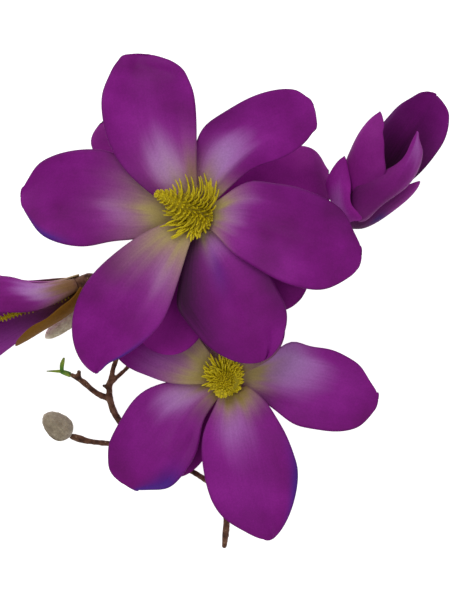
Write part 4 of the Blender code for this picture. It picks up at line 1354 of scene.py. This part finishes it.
@dataclass
class Wood:
    """The stem, its twigs and the blooms' receptacles as one grown piece; sizes in millimetres.

    ridges holds (waves in a millimetre, height) for the coarse and the fine unevenness of the bark.
    """

    node: str = "branch_wood"
    voxel: float = 0.5
    scar_first: tuple[float, float] = (4, 9)
    scar_step: float = 17.0
    scar_rise: float = 0.22
    scar_wide: float = 0.7
    scar_spread: tuple[float, float] = (0.6, 1.4)
    clear_end: float = 3.0
    hollow_tone: float = 0.12
    ridge_tone: float = 2.2
    top_tone: float = 0.5
    ridges: Sequence[tuple[float, float]] = ((0.55, 0.16), (1.6, 0.07))
    seed: int = 61

    def limbs(self) -> Shape:
        """The limbs, each closed, with a ring at every leaf scar.

        Returns:
            Their shape.
        """
        dice = random.Random(self.seed)
        shape = Shape()
        for limb in WOOD:
            line, radii = limb.line()
            if limb.smooth:
                along = run_length(line)
                spot = dice.uniform(*self.scar_first)
                while spot < along[-1] - self.clear_end:
                    radii = radii + self.scar_rise * np.exp(-((along - spot) / self.scar_wide) ** 2)
                    spot += self.scar_step * dice.uniform(*self.scar_spread)
            shape.limb(line, radii, sides=16)
        return shape

    def build(self, skin: bpy.types.Material) -> bpy.types.Object:
        """Make the wood: limbs grown together, smoothed, then roughened.

        Args:
            skin: its finish.

        Returns:
            The piece.
        """
        rough = self.limbs().finish(self.node + "_limbs", [skin])
        grown = rough.modifiers.new("grow", "REMESH")
        grown.mode = "VOXEL"
        grown.voxel_size = self.voxel * MM
        mesh = bpy.data.meshes.new_from_object(rough.evaluated_get(bpy.context.evaluated_depsgraph_get()))
        bpy.data.objects.remove(rough, do_unlink=True)
        soft = bmesh.new()
        soft.from_mesh(mesh)
        for _ in range(2):
            bmesh.ops.smooth_vert(soft, verts=soft.verts[:], factor=0.5, use_axis_x=True, use_axis_y=True,
                                  use_axis_z=True)
        soft.normal_update()
        rises = [sum(noise.noise(vert.co / MM * pitch) * high for pitch, high in self.ridges)
                 for vert in soft.verts]
        spots = [vert.co + vert.normal * rise * MM for vert, rise in zip(soft.verts, rises)]
        for vert, spot in zip(soft.verts, spots):
            spot.z = max(spot.z, 0.0)
            vert.co = spot
        tones = np.zeros((len(rises), 4))
        tones[:, 0] = np.clip(self.hollow_tone + self.ridge_tone * np.array(rises), 0, self.top_tone)
        soft.to_mesh(mesh)
        soft.free()
        mesh.name = self.node + "_bark"
        mesh.materials.clear()
        mesh.materials.append(skin)
        mesh.shade_smooth()
        paint(mesh, tones)
        return stand(self.node + "_bark", mesh)


@dataclass
class FuzzyBud:
    """An egg-shaped winter bud covered in short lying hairs."""

    node: str
    foot: tuple[float, float, float]
    tip: tuple[float, float, float]
    thick: float
    hairs: int
    seed: int
    hair_long: tuple[float, float] = (1.2, 2.2)

    def radius(self, share: np.ndarray | float) -> np.ndarray:
        """The bud's radius at shares of its length."""
        return self.thick * np.interp(share, *BUD_TAPER)

    def build(self, skin: bpy.types.Material) -> bpy.types.Object:
        """Make the bud and its hairs.

        Args:
            skin: its finish.

        Returns:
            The piece.
        """
        dice = random.Random(self.seed)
        foot = np.array(self.foot)
        core = np.array(self.tip) - foot
        long = float(np.linalg.norm(core))
        way = core / long
        side = sideways(way, (1.0, 0.0, 0.0))
        up = np.cross(side, way)
        share = np.linspace(0, 1, 28)
        shape = Shape()
        shape.limb(foot + core * share[:, None], self.radius(share), sides=32, start=0.0, end=0.0)
        t = np.linspace(0, 1, 4)[:, None]
        for _ in range(self.hairs):
            s = dice.uniform(0.0, HAIR_END)
            a = dice.uniform(0, 2 * math.pi)
            off = side * math.cos(a) + up * math.sin(a)
            reach = dice.uniform(*self.hair_long) * (1 - 0.5 * s ** 4)
            drift = np.cross(way, off) * dice.uniform(-0.4, 0.4)
            slope = (self.radius(min(s + SLOPE_STEP, 1)) - self.radius(s)) / (SLOPE_STEP * long)
            line = foot + core * s + off * (self.radius(s) - HAIR_ROOT)
            line = line + reach * (unit(way + off * slope + drift) * t + off * (0.16 * t - 0.05 * t ** 2))
            shape.limb(line, HAIR_RADII, sides=3, lot=dice.random(), start=0.2, end=0.8)
        return shape.finish(self.node + "_fur", [skin])


FUZZY_BUDS = [
    FuzzyBud("fuzzy_bud_round", (-80.4, -70.3, 7.4), (-93.6, -59.3, 8.6), 6.6, 2600, 71),
    FuzzyBud("fuzzy_bud_slim", (-72.4, -3.4, 14.1), (-92.5, -19.6, 13.0), 4.4, 2200, 72),
]


@dataclass
class LeafShoot:
    """The green shoot at a twig's end: three small folded leaves."""

    node: str = "leaf_shoot"
    leaves: Sequence[Limb] = (
        Limb([(-80.3, -38.4, 4.3), (-83.2, -37.2, 4.6), (-87, -36.9, 5.0), (-92.6, -36.9, 5.2)],
             (1.0, 1.0, 0.8, 0.25)),
        Limb([(-84.6, -37.2, 4.8), (-84.8, -34.8, 5.6), (-84.2, -32.2, 6.2), (-83.4, -30.0, 6.4)],
             (1.0, 1.1, 1.2, 0.5)),
        Limb([(-85.0, -37.2, 4.8), (-82.4, -38.4, 5.8), (-80.2, -39.6, 6.1)], (1.0, 1.1, 0.5)),
    )

    def build(self, skin: bpy.types.Material) -> bpy.types.Object:
        """Make the shoot.

        Args:
            skin: its finish.

        Returns:
            The piece.
        """
        shape = Shape()
        for index, leaf in enumerate(self.leaves):
            line, wide = leaf.line()
            shape.limb(line, wide, sides=12, lot=0.3 + 0.3 * index, start=0.1, end=0.9, flat=0.6)
        return shape.finish(self.node + "_leaves", [skin])


@dataclass
class Studio:
    """Pale floor, soft light and the camera over the branch; sizes in metres.

    lamps holds a name, a place, a width and a power for each.
    """

    floor_side: float = 4.0
    floor_drop: float = 0.0002
    sky: float = 0.55
    lamps: Sequence[tuple[str, tuple[float, float, float], float, float]] = (
        ("key", (-0.5, 0.7, 1.2), 0.9, 8.0),
        ("fill", (0.9, -0.5, 1.0), 1.2, 2.5),
    )

    def build(self) -> None:
        """Make the floor, the lights and the camera."""
        scene = bpy.context.scene
        scene.view_settings.view_transform = "Standard"
        mesh = bpy.data.meshes.new("floor")
        half = self.floor_side / 2
        corners = [(-half, -half, 0), (half, -half, 0), (half, half, 0), (-half, half, 0)]
        mesh.from_pydata(corners, [], [(0, 1, 2, 3)])
        mesh.materials.append(PaperSweep().make())
        floor = stand("floor", mesh)
        floor.location.z = -self.floor_drop

        world = bpy.data.worlds.new("soft_sky")
        world.use_nodes = True
        back = world.node_tree.nodes["Background"]
        back.inputs["Color"].default_value = WHITE
        back.inputs["Strength"].default_value = self.sky
        scene.world = world

        for name, spot, size, power in self.lamps:
            lamp = bpy.data.lights.new(name, "AREA")
            lamp.size = size
            lamp.energy = power
            holder = bpy.data.objects.new(name, lamp)
            holder.location = spot
            holder.rotation_euler = Vector(spot).to_track_quat("Z", "Y").to_euler()
            scene.collection.objects.link(holder)

        camera = bpy.data.cameras.new("camera")
        camera.sensor_fit = "VERTICAL"
        camera.sensor_height = SENSOR
        camera.lens = SENSOR * CAMERA_HEIGHT / VIEW_HEIGHT
        eye = bpy.data.objects.new("camera", camera)
        eye.location = (-MIDDLE[0] * MM, -MIDDLE[1] * MM, CAMERA_HEIGHT)
        scene.collection.objects.link(eye)
        scene.camera = eye


def main() -> None:
    """Build the studio and every piece of the branch."""
    logging.basicConfig(level=logging.INFO, format="%(message)s")
    Studio().build()

    inner = TepalSkin("magnolia_tepal_inner").make()
    back = TepalSkin("magnolia_tepal_back", body="#781474", bright="#841E80", dark="#6A1062", cream="#8A6E50",
                     roughness=0.56).make()
    # the outer skin is the outer tepals' purple made lighter than the inner skin: partly their own colour,
    # partly painted light that lifts the shade under the inner tepals
    outer = TepalSkin("magnolia_outer_tepal", body="#8A2086", bright="#962A90", dark="#781A74", roughness=0.6,
                      sheen=0.0, gloss=0.03).make()
    for tepal in UPPER_TEPALS + LOWER_TEPALS + BUD_TEPALS + SIDE_TEPALS:
        faces = (outer, outer) if tepal.slot == OUTER_SLOT else (inner, back)
        settle(tepal.build(*faces), tepal.node)

    threads = StyleSkin("magnolia_style_thread").make()
    # the crowd is the threads made lighter, with less painted shade at the roots: painted light that lifts
    # the shade inside the dense open centres
    crowd = StyleSkin("magnolia_stamen_crowd", root="#7A6804", low="#A08E06", middle="#CCB808",
                      tip="#D6C214").make()
    for centre in CENTRES:
        settle(centre.build(crowd if centre.stamen_rows > 2 else threads), centre.node)

    wood = Wood()
    settle(wood.build(Bark().make()), wood.node)
    # the second fur is the same fur made lighter: painted light on the slim bud, which lies in the side
    # bloom's shade
    furs = (BudFur("winter_bud_fur"),
            BudFur("winter_bud_fur_painted_light", skin="#E2D8B8", hair="#F2EAD0", shadow="#C6B894"))
    for bud, fur in zip(FUZZY_BUDS, furs):
        settle(bud.build(fur.make()), bud.node)
    shoot = LeafShoot()
    settle(shoot.build(LeafSkin().make()), shoot.node)


if __name__ == "__main__":
    main()
